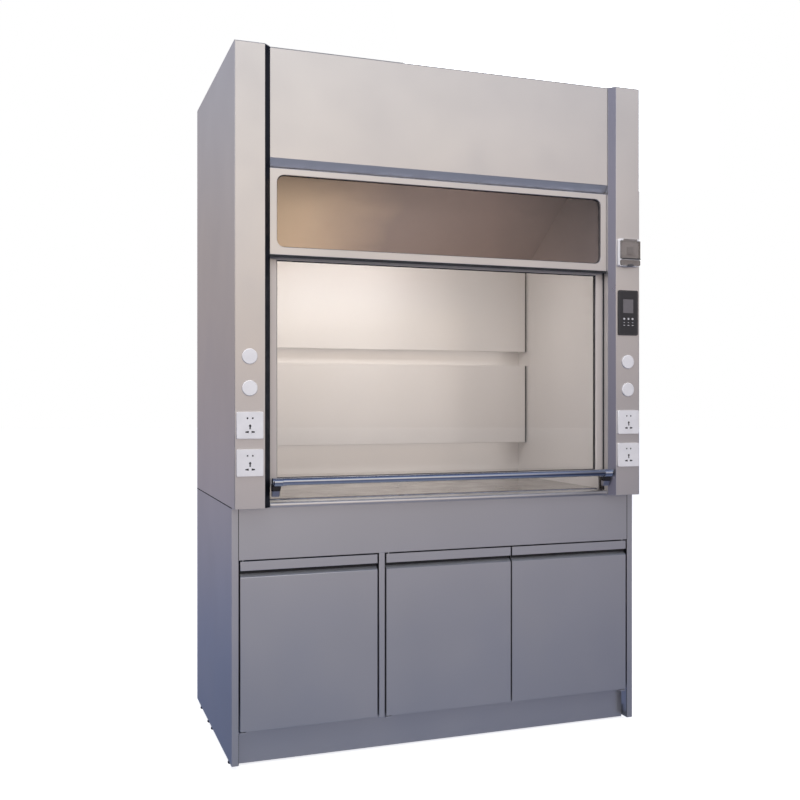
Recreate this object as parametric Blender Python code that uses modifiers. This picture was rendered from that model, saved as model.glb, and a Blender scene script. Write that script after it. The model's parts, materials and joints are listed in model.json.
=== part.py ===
"""A laboratory fume hood with a balanced glass sash, standing on a cupboard base.

The row frame is metres with +Z up, +X to the right as a user sees it and the user
standing at -Y. The origin is on the floor, under the middle of the overall box.
"""

import math

import bmesh
import bpy
from mathutils import Matrix, Vector

# ---------------------------------------------------------------- overall sizes
OVERALL_WIDTH = 1.500
OVERALL_DEPTH = 0.850
OVERALL_HEIGHT = 2.350
BASE_HEIGHT = 0.852
FOOT_HEIGHT = 0.015
HANDLE_REACH = 0.0225

HALF_WIDTH = OVERALL_WIDTH / 2
FRONT = -OVERALL_DEPTH / 2 + HANDLE_REACH
REAR = OVERALL_DEPTH / 2

# ---------------------------------------------------------------- stock and fits
SHEET = 0.002
LINER = 0.004
BOARD = 0.018
GAP = 0.0003
RUNNING = 0.001
PIN_FIT = 0.0001
SEGMENTS = 48

# ---------------------------------------------------------------- base cupboard
BASE_SETBACK = 0.0475
BASE_SIDE = 0.022
BASE_FRONT = FRONT + BASE_SETBACK
BASE_INNER = HALF_WIDTH - BASE_SIDE
DOOR_THICK = 0.020
DOOR_GAP = 0.006
MULLION = 0.020
DOOR_BOTTOM = 0.1233
APRON_BOTTOM = 0.681
PLINTH_RECESS = 0.038
DOOR_TOP = APRON_BOTTOM - 0.005
DOOR_WIDTH = (2 * BASE_INNER - MULLION - 5 * DOOR_GAP) / 3
LIP_HEIGHT = 0.030
RECESS_DEPTH = 0.0145
RECESS_HEIGHT = 0.022
PIVOT_INSET = 0.010
PIVOT_RADIUS = 0.003
PIVOT_REACH = 0.012
FLOOR_TOP = DOOR_BOTTOM - 0.0033
PLINTH_FRONT = BASE_FRONT + PLINTH_RECESS
PLINTH_BOTTOM = 0.009
TONGUE = 0.005
BASE_TOP = BASE_HEIGHT - GAP

FOOT_ROWS = {"front": FRONT + 0.126, "rear": REAR - 0.0865}
FOOT_STEM = 0.004
FOOT_PAD = 0.0105
FOOT_PAD_HEIGHT = 0.007
FOOT_THREAD = 0.025

# ---------------------------------------------------------------- upper casing
CASE_BOTTOM = BASE_HEIGHT
ROOF_BOTTOM = OVERALL_HEIGHT - SHEET
CASE_TOP = ROOF_BOTTOM - GAP
SKIN_INNER = HALF_WIDTH - SHEET
POST_FACE = 0.099
POST_CHAMFER = 0.021
POST_RETURN = 0.0485
JAMB = HALF_WIDTH - POST_FACE - POST_CHAMFER
BETWEEN = JAMB - GAP
TOP_PANEL_SETBACK = 0.024
HEADER_TOP = 1.990
HEADER_DEPTH = 0.026
HEADER_DROP = 0.0315
VIEW_SETBACK = 0.029
VIEW_THICK = 0.012
VIEW_BOTTOM = 1.6757
VIEW_TOP = HEADER_TOP - 0.032
VIEW_SIDE = 0.0247
VIEW_LOWER = 0.0258
VIEW_UPPER = 0.020
VIEW_CORNER = 0.025
VIEW_GLASS = 0.005
VIEW_LAP = 0.012

# ---------------------------------------------------------------- sash and balance
SASH_FRONT = 0.0555
SASH_THICK = 0.025
SASH_BOTTOM = 0.9185
SASH_TOP = 1.698
STILE_FACE = 0.030
STILE_ENTRY = 0.015
TOP_RAIL = 0.036
BOTTOM_RAIL = 0.025
SASH_GLASS = 0.006
GLASS_ENTRY = 0.0085
SASH_UP = 0.620
SASH_DOWN = 0.050
TRACK_WALL = 0.003
TRACK_WEB = 0.0025
TRACK_TOP = CASE_TOP - 0.006
LUG_TOP = 1.600
LUG_HEIGHT = 0.040
LUG_THICK = 0.008
PULLEY_RADIUS = 0.045
PULLEY_RIM = 0.004
PULLEY_WIDTH = 0.012
PULLEY_BELOW_ROOF = 0.078
AXLE_RADIUS = 0.005
CABLE_RADIUS = 0.0015
WEIGHT_SECTION = (0.044, 0.070)
WEIGHT_TOP = 2.000
HANDLE_RADIUS = 0.0125
HANDLE_WALL = 0.002
HANDLE_HEIGHT = 0.937
BRACKET = (0.024, 0.016)
BRACKET_INSET = 0.036
STEEL_DENSITY = 7850.0
ALUMINIUM_DENSITY = 2700.0
GLASS_DENSITY = 2500.0

# ---------------------------------------------------------------- chamber, measured back from the front
TRACK_BACK = SASH_FRONT + SASH_THICK + RUNNING + TRACK_WALL
LINER_FRONT = TRACK_BACK + 0.003
REAR_VOID = 0.0705
REAR_LINER = REAR - REAR_VOID - FRONT
CEILING = 2.060
WORKTOP = 0.020
SILL_FRONT = 0.024
SILL_REAR = LINER_FRONT + 0.0125
SILL_HEIGHT = 0.016
BAFFLE = 0.005
BAFFLE_FACE = REAR_LINER - 0.077
LOWER_BAFFLE = (1.020, 1.3475)
MIDDLE_BAFFLE = (1.407, 1.764)
UPPER_BAFFLE_RUN = (BAFFLE_FACE - 0.380, BAFFLE_FACE - 0.006)
UPPER_BAFFLE_RISE = 0.244
DUCT_RADIUS = 0.125
DUCT_DEPTH = REAR_LINER - 0.257
DUCT_ABOVE = 0.060
LAMP_SIZE = (0.600, 0.100, 0.028)

# ---------------------------------------------------------------- services
SERVICE_X = HALF_WIDTH - POST_FACE / 2
SOCKET_SIZE = 0.086
SOCKET_PROUD = 0.008
SOCKET_BOX = (0.060, 0.032)
SOCKET_HEIGHTS = {"upper": 1.120, "lower": 1.000}
PIN_HOLE = 0.0030
PIN_PITCH = 0.0170
PIN_ABOVE = 0.0225
EARTH_HOLE = 0.0040
EARTH_STEM = (0.0046, 0.0112)
EARTH_BELOW = 0.0015
SLOT_BELOW = 0.0215
FLARED_SLOT = ((0.0045, -0.0035), (0.0155, -0.0018), (0.0155, 0.0018), (0.0045, 0.0035))
CAP_RADIUS = 0.025
CAP_PROUD = 0.005
CAP_BOSS = 0.017
CAP_HEIGHTS = {"upper": 1.341, "lower": 1.239}
PANEL_SIZE = (0.082, 0.165)
PANEL_PROUD = 0.005
PANEL_BODY = (0.068, 0.148, 0.030)
PANEL_HEIGHT = 1.5215
SCREEN_SIZE = (0.044, 0.052)
SCREEN_ABOVE = 0.0245
SCREEN_SUNK = 0.0015
KEY_RADIUS = 0.0038
KEY_PITCH = 0.0177
KEY_BELOW = 0.0225
KEY_PROUD = 0.0012
KEY_LENGTH = 0.0052
KEY_WELL = 0.0055
SPLASH_SIZE = (0.086, 0.1005, 0.012)
SPLASH_HEIGHT = 1.7420
LID_SIZE = (0.080, 0.065)
LID_DEPTH = 0.010
LID_WALL = 0.002
LID_CLEAR = 1.7
BARREL_RADIUS = 0.003
BARREL_LENGTH = 0.058
LUG_WIDTH = 0.008
SPINDLE_RADIUS = 0.0015

PAINTS = {
    "coat_light": ((0.61, 0.565, 0.533), 0.38, 0.15),
    "coat_base": ((0.27, 0.27, 0.33), 0.42, 0.15),
    "laminate": ((0.74, 0.67, 0.61), 0.35, 0.0),
    "worktop": ((0.20, 0.19, 0.19), 0.40, 0.0),
    "aluminium": ((0.60, 0.56, 0.53), 0.35, 0.9),
    "steel": ((0.42, 0.43, 0.45), 0.45, 0.9),
    "chrome": ((0.80, 0.81, 0.84), 0.12, 1.0),
    "glass": ((0.86, 0.84, 0.80), 0.03, 0.0),
    "smoke": ((0.20, 0.19, 0.19), 0.08, 0.0),
    "white_plastic": ((0.80, 0.80, 0.82), 0.35, 0.0),
    "black_plastic": ((0.035, 0.035, 0.038), 0.45, 0.0),
    "key_plastic": ((0.62, 0.62, 0.64), 0.40, 0.0),
    "rubber": ((0.03, 0.03, 0.03), 0.80, 0.0),
}


# ---------------------------------------------------------------- helpers
def clear_scene():
    """Removes every object of the starting scene."""
    for obj in list(bpy.data.objects):
        bpy.data.objects.remove(obj, do_unlink=True)


def make_paints():
    """Makes one Principled BSDF material for each finish."""
    made = {}
    for name, (colour, roughness, metallic) in PAINTS.items():
        paint = bpy.data.materials.new(name)
        paint.use_nodes = True
        shader = paint.node_tree.nodes["Principled BSDF"]
        shader.inputs["Base Color"].default_value = (*colour, 1.0)
        shader.inputs["Roughness"].default_value = roughness
        shader.inputs["Metallic"].default_value = metallic
        if name in ("glass", "smoke"):
            shader.inputs["Transmission Weight"].default_value = 0.9
        made[name] = paint
    return made


def make_collection(name):
    """Makes a collection in the scene."""
    collection = bpy.data.collections.new(name)
    bpy.context.scene.collection.children.link(collection)
    return collection


clear_scene()
MATERIALS = make_paints()
HOOD = make_collection("fume_hood")
CUTTERS = make_collection("cutters")


def place(name, mesh, paint, matrix=None):
    """Puts a mesh in the hood's collection under its own name."""
    obj = bpy.data.objects.new(name, mesh)
    if paint:
        mesh.materials.append(MATERIALS[paint])
    HOOD.objects.link(obj)
    if matrix is not None:
        obj.matrix_world = matrix
    return obj


def mesh_from(bm, name):
    """Turns a bmesh into a mesh with its faces pointing out."""
    bmesh.ops.recalc_face_normals(bm, faces=bm.faces)
    mesh = bpy.data.meshes.new(name)
    bm.to_mesh(mesh)
    bm.free()
    return mesh


def box(name, paint, x, y, z):
    """Makes a box from its span along each axis."""
    low = Vector((min(x), min(y), min(z)))
    high = Vector((max(x), max(y), max(z)))
    bm = bmesh.new()
    bmesh.ops.create_cube(bm, size=1.0)
    bmesh.ops.scale(bm, vec=high - low, verts=bm.verts)
    return place(name, mesh_from(bm, name), paint, Matrix.Translation((low + high) / 2))


AXIS_TURN = {
    "X": Matrix(((0, 0, 1), (1, 0, 0), (0, 1, 0))).to_4x4(),
    "Y": Matrix(((1, 0, 0), (0, 0, -1), (0, 1, 0))).to_4x4(),
    "Z": Matrix.Identity(4),
}


def prism(name, paint, outlines, axis, span):
    """Extrudes closed outlines along an axis; every outline after the first is a hole.

    Outline points are (y, z) for an X prism, (x, z) for a Y prism and (x, y) for a Z prism.
    """
    curve = bpy.data.curves.new(name, "CURVE")
    curve.dimensions = "2D"
    curve.fill_mode = "BOTH"
    curve.extrude = abs(span[1] - span[0]) / 2
    for outline in outlines:
        spline = curve.splines.new("POLY")
        spline.points.add(len(outline) - 1)
        for point, (u, v) in zip(spline.points, outline):
            point.co = (u, v, 0, 1)
        spline.use_cyclic_u = True
    middle = (span[0] + span[1]) / 2
    shift = {"X": (middle, 0, 0), "Y": (0, middle, 0), "Z": (0, 0, middle)}[axis]
    matrix = Matrix.Translation(shift) @ AXIS_TURN[axis]
    return solid_of(name, paint, curve, matrix)


def solid_of(name, paint, curve, matrix):
    """Turns a curve into a welded mesh object at the same place."""
    holder = bpy.data.objects.new(name, curve)
    HOOD.objects.link(holder)
    graph = bpy.context.evaluated_depsgraph_get()
    mesh = bpy.data.meshes.new_from_object(holder.evaluated_get(graph))
    bpy.data.objects.remove(holder, do_unlink=True)
    bm = bmesh.new()
    bm.from_mesh(mesh)
    bpy.data.meshes.remove(mesh)
    bmesh.ops.remove_doubles(bm, verts=bm.verts, dist=0.00001)
    welded = mesh_from(bm, name)
    return place(name, welded, paint, matrix)


def rod(name, paint, centre, radius, axis, span, segments=SEGMENTS):
    """Makes a round bar along an axis. The centre is its place across the other two axes."""
    low, high = min(span), max(span)
    bm = bmesh.new()
    bmesh.ops.create_cone(
        bm, cap_ends=True, segments=segments, radius1=radius, radius2=radius, depth=high - low
    )
    middle = (low + high) / 2
    spot = {
        "X": (middle, centre[0], centre[1]),
        "Y": (centre[0], middle, centre[1]),
        "Z": (centre[0], centre[1], middle),
    }[axis]
    return place(name, mesh_from(bm, name), paint, Matrix.Translation(spot) @ AXIS_TURN[axis])


def turned(name, paint, profile, matrix):
    """Spins a closed (radius, height) profile round its own Z axis."""
    mesh = bpy.data.meshes.new(name)
    bm = bmesh.new()
    verts = [bm.verts.new((radius, 0, height)) for radius, height in profile]
    for first, second in zip(verts, verts[1:] + verts[:1]):
        if first.co.x > 0.00001 or second.co.x > 0.00001:
            bm.edges.new((first, second))
    bm.to_mesh(mesh)
    bm.free()
    obj = place(name, mesh, paint, matrix)
    screw = obj.modifiers.new("Turn", "SCREW")
    screw.axis = "Z"
    screw.steps = SEGMENTS
    screw.render_steps = SEGMENTS
    screw.use_merge_vertices = True
    screw.merge_threshold = 0.00001
    screw.use_smooth_shade = False
    return obj


def combine(target, helper, operation):
    """Adds an exact Boolean that takes another object as its helper."""
    helper.hide_render = True
    helper.display_type = "WIRE"
    HOOD.objects.unlink(helper)
    CUTTERS.objects.link(helper)
    modifier = target.modifiers.new(operation.title(), "BOOLEAN")
    modifier.operation = operation
    modifier.solver = "EXACT"
    modifier.object = helper
    return target


def cut(target, helper):
    """Cuts a helper out of a piece."""
    return combine(target, helper, "DIFFERENCE")


def add(target, helper):
    """Welds a helper onto a piece."""
    return combine(target, helper, "UNION")


def hollow(obj, x, y, z):
    """Empties a folded steel tray: the span runs out through the side that is open."""
    return cut(obj, box(f"{obj.name}_pocket", None, x, y, z))


def soften(obj, width, segments=2, angle=30.0):
    """Rounds a piece's sharp edges."""
    bevel = obj.modifiers.new("Round", "BEVEL")
    bevel.width = width
    bevel.segments = segments
    bevel.limit_method = "ANGLE"
    bevel.angle_limit = math.radians(angle)
    return obj


def smooth(obj):
    """Shades a round piece smooth up to its sharp edges."""
    obj.data.shade_smooth()
    obj.data.set_sharp_from_angle(angle=math.radians(35))
    return obj


def move_origin(obj, point):
    """Puts a piece's origin on its joint and leaves the solid where it is."""
    bpy.context.view_layer.update()
    old = obj.matrix_world.copy()
    new = Matrix.Translation(point)
    obj.data.transform(new.inverted() @ old)
    obj.matrix_world = new
    return obj


def round_corners(low, high, radius, steps=6):
    """The outline of a rectangle with round corners."""
    corners = (
        (high[0] - radius, high[1] - radius, 0),
        (low[0] + radius, high[1] - radius, 90),
        (low[0] + radius, low[1] + radius, 180),
        (high[0] - radius, low[1] + radius, 270),
    )
    points = []
    for x, z, start in corners:
        for step in range(steps + 1):
            angle = math.radians(start + 90 * step / steps)
            points.append((x + radius * math.cos(angle), z + radius * math.sin(angle)))
    return points


def circle(centre, radius, steps=SEGMENTS):
    """The outline of a circle."""
    turns = [math.tau * step / steps for step in range(steps)]
    return [(centre[0] + radius * math.cos(a), centre[1] + radius * math.sin(a)) for a in turns]


def folded(path, thickness):
    """The outline of a folded sheet whose outer face follows a path, metal on its left."""
    points = [Vector(point) for point in path]
    inner = []
    for index, point in enumerate(points):
        before = (point - points[index - 1]).normalized() if index else None
        after = (points[index + 1] - point).normalized() if index + 1 < len(points) else None
        ways = [way for way in (before, after) if way is not None]
        normals = [Vector((-way.y, way.x)) for way in ways]
        mitre = sum(normals, Vector((0, 0))).normalized()
        inner.append(point + mitre * (thickness / mitre.dot(normals[0])))
    return [tuple(point) for point in points + inner[::-1]]


def mirrored(outline, side):
    """The outline on the right as it is, or on the left turned over."""
    return [(side * x, y) for x, y in outline]


# ---------------------------------------------------------------- base cupboard
def base_sides():
    """The two thick cupboard ends, drilled for the feet."""
    for hand, side in (("left", -1), ("right", 1)):
        end = box(
            f"base_side_{hand}",
            "coat_base",
            (side * BASE_INNER, side * HALF_WIDTH),
            (BASE_FRONT, REAR),
            (FOOT_HEIGHT, BASE_TOP),
        )
        hollow(
            end,
            (side * (BASE_INNER - 0.005), side * (HALF_WIDTH - SHEET)),
            (BASE_FRONT + SHEET, REAR - SHEET),
            (FOOT_HEIGHT + SHEET, BASE_TOP - SHEET),
        )
        for row, y in FOOT_ROWS.items():
            x = side * (HALF_WIDTH - BASE_SIDE / 2)
            hole = rod(
                f"foot_hole_{row}_{hand}",
                None,
                (x, y),
                FOOT_STEM + GAP,
                "Z",
                (0, FOOT_HEIGHT + FOOT_THREAD + GAP),
                24,
            )
            cut(end, hole)
            foot(f"foot_{row}_{hand}", x, y)


def foot(name, x, y):
    """A levelling foot: a pad under a threaded stem."""
    profile = (
        (0, FOOT_HEIGHT + FOOT_THREAD),
        (FOOT_STEM, FOOT_HEIGHT + FOOT_THREAD),
        (FOOT_STEM, FOOT_PAD_HEIGHT),
        (FOOT_PAD, FOOT_PAD_HEIGHT - 0.001),
        (FOOT_PAD, 0),
        (0, 0),
    )
    turned(name, "rubber", profile, Matrix.Translation((x, y, 0)))


def base_carcass():
    """The panels that tie the two cupboard ends together."""
    inner = BASE_INNER - GAP
    back = REAR - SHEET
    within = (-inner + SHEET, inner - SHEET)
    mullion_x = -BASE_INNER + DOOR_WIDTH + 2 * DOOR_GAP
    floor_front = PLINTH_FRONT + BOARD + GAP
    top_front = BASE_FRONT + BOARD + GAP
    for name, front, high in (("base_floor", floor_front, FLOOR_TOP), ("base_top", top_front, BASE_TOP)):
        low = high - BOARD
        tray = box(name, "coat_base", (-inner, inner), (front, back - GAP), (low, high))
        hollow(tray, within, (front + SHEET, back - GAP - SHEET), (low - 0.005, high - SHEET))
    apron = box(
        "base_apron",
        "coat_base",
        (-inner, inner),
        (BASE_FRONT, BASE_FRONT + BOARD),
        (APRON_BOTTOM, BASE_TOP),
    )
    behind = (BASE_FRONT + SHEET, BASE_FRONT + BOARD + 0.005)
    hollow(apron, within, behind, (APRON_BOTTOM + SHEET, BASE_TOP - SHEET))
    box("base_back", "coat_base", (-inner, inner), (back, REAR), (FOOT_HEIGHT, BASE_TOP))
    plinth = box(
        "base_plinth",
        "coat_base",
        (-inner, inner),
        (PLINTH_FRONT, PLINTH_FRONT + BOARD),
        (PLINTH_BOTTOM, FLOOR_TOP),
    )
    behind = (PLINTH_FRONT + SHEET, PLINTH_FRONT + BOARD + 0.005)
    hollow(plinth, within, behind, (PLINTH_BOTTOM + SHEET, FLOOR_TOP - SHEET))
    outline = (
        (BASE_FRONT, FLOOR_TOP + GAP),
        (back - GAP, FLOOR_TOP + GAP),
        (back - GAP, BASE_TOP - BOARD - GAP),
        (top_front, BASE_TOP - BOARD - GAP),
        (top_front, APRON_BOTTOM - GAP),
        (BASE_FRONT, APRON_BOTTOM - GAP),
    )
    partition = prism(
        "base_partition", "coat_base", [outline], "X", (mullion_x, mullion_x + MULLION)
    )
    hollow(
        partition,
        (mullion_x - 0.005, mullion_x + MULLION - SHEET),
        (top_front + SHEET, back - GAP - SHEET),
        (FLOOR_TOP + GAP + SHEET, BASE_TOP - BOARD - GAP - SHEET),
    )
    return plinth, apron


def door(name, left, hinge_side, plinth, apron):
    """A cupboard door with a finger pull along its top and a pivot pin at each end."""
    right = left + DOOR_WIDTH
    face = BASE_FRONT
    lip_low = DOOR_TOP - LIP_HEIGHT
    sill = lip_low - 0.010
    web = 0.003
    outline = (
        (face, DOOR_BOTTOM),
        (face + DOOR_THICK, DOOR_BOTTOM),
        (face + DOOR_THICK, DOOR_TOP),
        (face, DOOR_TOP),
        (face, lip_low),
        (face + web, lip_low),
        (face + web, lip_low + RECESS_HEIGHT),
        (face + RECESS_DEPTH, lip_low + RECESS_HEIGHT),
        (face + RECESS_DEPTH, sill),
        (face, sill - 0.012),
    )
    leaf = prism(name, "coat_base", [outline], "X", (left, right))
    x = left + PIVOT_INSET if hinge_side < 0 else right - PIVOT_INSET
    y = face + PIVOT_INSET
    for end, low, high in (
        ("top", DOOR_TOP - 0.004, DOOR_TOP + PIVOT_REACH),
        ("bottom", DOOR_BOTTOM - PIVOT_REACH, DOOR_BOTTOM + 0.004),
    ):
        pin = rod(f"{name}_{end}_pin", None, (x, y), PIVOT_RADIUS, "Z", (low, high), 32)
        add(leaf, pin)
    hollow(
        leaf,
        (left + SHEET, right - SHEET),
        (face + SHEET, face + DOOR_THICK + 0.005),
        (DOOR_BOTTOM + SHEET, sill - 0.012 - SHEET),
    )
    tongue = box(
        f"{name}_tongue",
        None,
        (x - PIVOT_INSET, x + PIVOT_INSET),
        (face + 0.002, PLINTH_FRONT + 0.004),
        (FLOOR_TOP - TONGUE, FLOOR_TOP),
    )
    add(plinth, tongue)
    bore = PIVOT_RADIUS + PIN_FIT
    low_span = (FLOOR_TOP - TONGUE - 0.004, FLOOR_TOP + 0.004)
    cut(plinth, rod(f"{name}_low_bore", None, (x, y), bore, "Z", low_span, 32))
    high_span = (APRON_BOTTOM - 0.004, DOOR_TOP + PIVOT_REACH + 0.001)
    cut(apron, rod(f"{name}_high_bore", None, (x, y), bore, "Z", high_span, 32))
    move_origin(leaf, (x, y, DOOR_BOTTOM))


def base():
    """The cupboard base with its three doors."""
    base_sides()
    plinth, apron = base_carcass()
    first = -BASE_INNER + DOOR_GAP
    second = first + DOOR_WIDTH + 2 * DOOR_GAP + MULLION
    third = second + DOOR_WIDTH + DOOR_GAP
    door("door_left", first, -1, plinth, apron)
    door("door_middle", second, -1, plinth, apron)
    door("door_right", third, 1, plinth, apron)


# ---------------------------------------------------------------- upper casing
def posts():
    """The two folded front posts and the skins behind them. Returns the posts by hand."""
    made = {}
    outer = SKIN_INNER - GAP
    path = (
        (outer, FRONT + 0.040),
        (outer, FRONT),
        (HALF_WIDTH - POST_FACE, FRONT),
        (JAMB, FRONT + POST_CHAMFER),
        (JAMB, FRONT + POST_RETURN),
    )
    outline = folded(path[::-1], SHEET)
    for hand, side in (("left", -1), ("right", 1)):
        made[hand] = prism(
            f"front_post_{hand}",
            "coat_light",
            [mirrored(outline, side)],
            "Z",
            (CASE_BOTTOM, CASE_TOP),
        )
        box(
            f"side_panel_{hand}",
            "coat_light",
            (side * SKIN_INNER, side * HALF_WIDTH),
            (FRONT, REAR),
            (CASE_BOTTOM, CASE_TOP),
        )
    return made


def casing():
    """The front panels, the back, the roof and the duct collar."""
    face = FRONT + TOP_PANEL_SETBACK
    path = (
        (face + 0.020, CASE_TOP),
        (face, CASE_TOP),
        (face, HEADER_TOP),
        (face + HEADER_DEPTH, HEADER_TOP - HEADER_DROP),
    )
    prism("top_front_panel", "coat_light", [folded(path, SHEET)], "X", (-BETWEEN, BETWEEN))

    window_low = (-BETWEEN + VIEW_SIDE, VIEW_BOTTOM + VIEW_LOWER)
    window_high = (BETWEEN - VIEW_SIDE, VIEW_TOP - VIEW_UPPER)
    outer = (
        (-BETWEEN, VIEW_BOTTOM),
        (BETWEEN, VIEW_BOTTOM),
        (BETWEEN, VIEW_TOP),
        (-BETWEEN, VIEW_TOP),
    )
    window = round_corners(window_low, window_high, VIEW_CORNER)
    view_front = FRONT + VIEW_SETBACK
    view_back = view_front + VIEW_THICK
    prism("view_panel_frame", "coat_light", [outer, window], "Y", (view_front, view_back))
    box(
        "view_window_glass",
        "glass",
        (window_low[0] - VIEW_LAP, window_high[0] + VIEW_LAP),
        (view_back + GAP, view_back + GAP + VIEW_GLASS),
        (window_low[1] - VIEW_LAP, window_high[1] + VIEW_LAP),
    )

    back = REAR - SHEET
    box(
        "rear_panel",
        "coat_light",
        (-SKIN_INNER + GAP, SKIN_INNER - GAP),
        (back, REAR),
        (CASE_BOTTOM, CASE_TOP),
    )

    corner = HALF_WIDTH - POST_FACE
    roof = (
        (-HALF_WIDTH, FRONT),
        (-corner, FRONT),
        (-JAMB, FRONT + POST_CHAMFER),
        (-JAMB, face),
        (JAMB, face),
        (JAMB, FRONT + POST_CHAMFER),
        (corner, FRONT),
        (HALF_WIDTH, FRONT),
        (HALF_WIDTH, REAR),
        (-HALF_WIDTH, REAR),
    )
    duct_y = FRONT + DUCT_DEPTH
    hole = circle((0, duct_y), DUCT_RADIUS + 2 * GAP)
    prism("roof_panel", "coat_light", [roof, hole], "Z", (ROOF_BOTTOM, OVERALL_HEIGHT))

    seat = OVERALL_HEIGHT + GAP
    flange = DUCT_RADIUS + 0.035
    profile = (
        (DUCT_RADIUS, OVERALL_HEIGHT + DUCT_ABOVE),
        (DUCT_RADIUS, seat + SHEET),
        (flange, seat + SHEET),
        (flange, seat),
        (DUCT_RADIUS, seat),
        (DUCT_RADIUS, CEILING),
        (DUCT_RADIUS - SHEET, CEILING),
        (DUCT_RADIUS - SHEET, OVERALL_HEIGHT + DUCT_ABOVE),
    )
    collar = turned("exhaust_collar", "coat_light", profile, Matrix.Translation((0, duct_y, 0)))
    smooth(collar)


# ---------------------------------------------------------------- chamber
def chamber():
    """The lining, the baffles, the worktop, the sill and the lamp."""
    liner_front = FRONT + LINER_FRONT
    rear_face = FRONT + REAR_LINER
    ceiling_top = CEILING + LINER
    for hand, side in (("left", -1), ("right", 1)):
        box(
            f"liner_{hand}",
            "laminate",
            (side * JAMB, side * (JAMB + LINER)),
            (liner_front, rear_face - GAP),
            (CASE_BOTTOM, ceiling_top),
        )
    box(
        "liner_rear",
        "laminate",
        (-JAMB - LINER, JAMB + LINER),
        (rear_face, rear_face + LINER),
        (CASE_BOTTOM, ceiling_top),
    )
    duct_y = FRONT + DUCT_DEPTH
    ceiling = (
        (-BETWEEN, liner_front),
        (BETWEEN, liner_front),
        (BETWEEN, rear_face - GAP),
        (-BETWEEN, rear_face - GAP),
    )
    hole = circle((0, duct_y), DUCT_RADIUS + 2 * GAP)
    prism("liner_ceiling", "laminate", [ceiling, hole], "Z", (CEILING, ceiling_top))

    face = FRONT + BAFFLE_FACE
    for name, heights in (("baffle_lower", LOWER_BAFFLE), ("baffle_middle", MIDDLE_BAFFLE)):
        box(name, "laminate", (-BETWEEN, BETWEEN), (face, face + BAFFLE), heights)
    low_end = (FRONT + UPPER_BAFFLE_RUN[1], MIDDLE_BAFFLE[1] + 0.006)
    high_end = (FRONT + UPPER_BAFFLE_RUN[0], MIDDLE_BAFFLE[1] + 0.006 + UPPER_BAFFLE_RISE)
    slope = folded((low_end, high_end), -BAFFLE)
    prism("baffle_upper", "laminate", [slope], "X", (-BETWEEN, BETWEEN))

    sill_rear = FRONT + SILL_REAR
    box(
        "worktop",
        "worktop",
        (-BETWEEN, BETWEEN),
        (sill_rear, rear_face - GAP),
        (CASE_BOTTOM, CASE_BOTTOM + WORKTOP),
    )
    sill_front = FRONT + SILL_FRONT
    sill_top = CASE_BOTTOM + SILL_HEIGHT
    outline = (
        (sill_front, CASE_BOTTOM),
        (sill_rear - GAP, CASE_BOTTOM),
        (sill_rear - GAP, sill_top),
        (sill_front + 0.008, sill_top),
        (sill_front + 0.002, sill_top - 0.002),
        (sill_front, sill_top - 0.007),
    )
    prism("sill", "coat_light", [outline], "X", (-BETWEEN, BETWEEN))

    lamp_front = liner_front + 0.030
    lamp = box(
        "lamp",
        "white_plastic",
        (-LAMP_SIZE[0] / 2, LAMP_SIZE[0] / 2),
        (lamp_front, lamp_front + LAMP_SIZE[1]),
        (CEILING - GAP - LAMP_SIZE[2], CEILING - GAP),
    )
    soften(lamp, 0.004)


# ---------------------------------------------------------------- sash
SASH_MID = FRONT + SASH_FRONT + SASH_THICK / 2
SASH_OUTER = JAMB + STILE_ENTRY
SASH_INNER = JAMB - STILE_FACE
CABLE_X = SASH_OUTER + TRACK_WEB + 0.0115
PULLEY_Z = OVERALL_HEIGHT - PULLEY_BELOW_ROOF
PULLEY_Y = SASH_MID + PULLEY_RADIUS
WEIGHT_Y = SASH_MID + 2 * PULLEY_RADIUS


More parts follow.
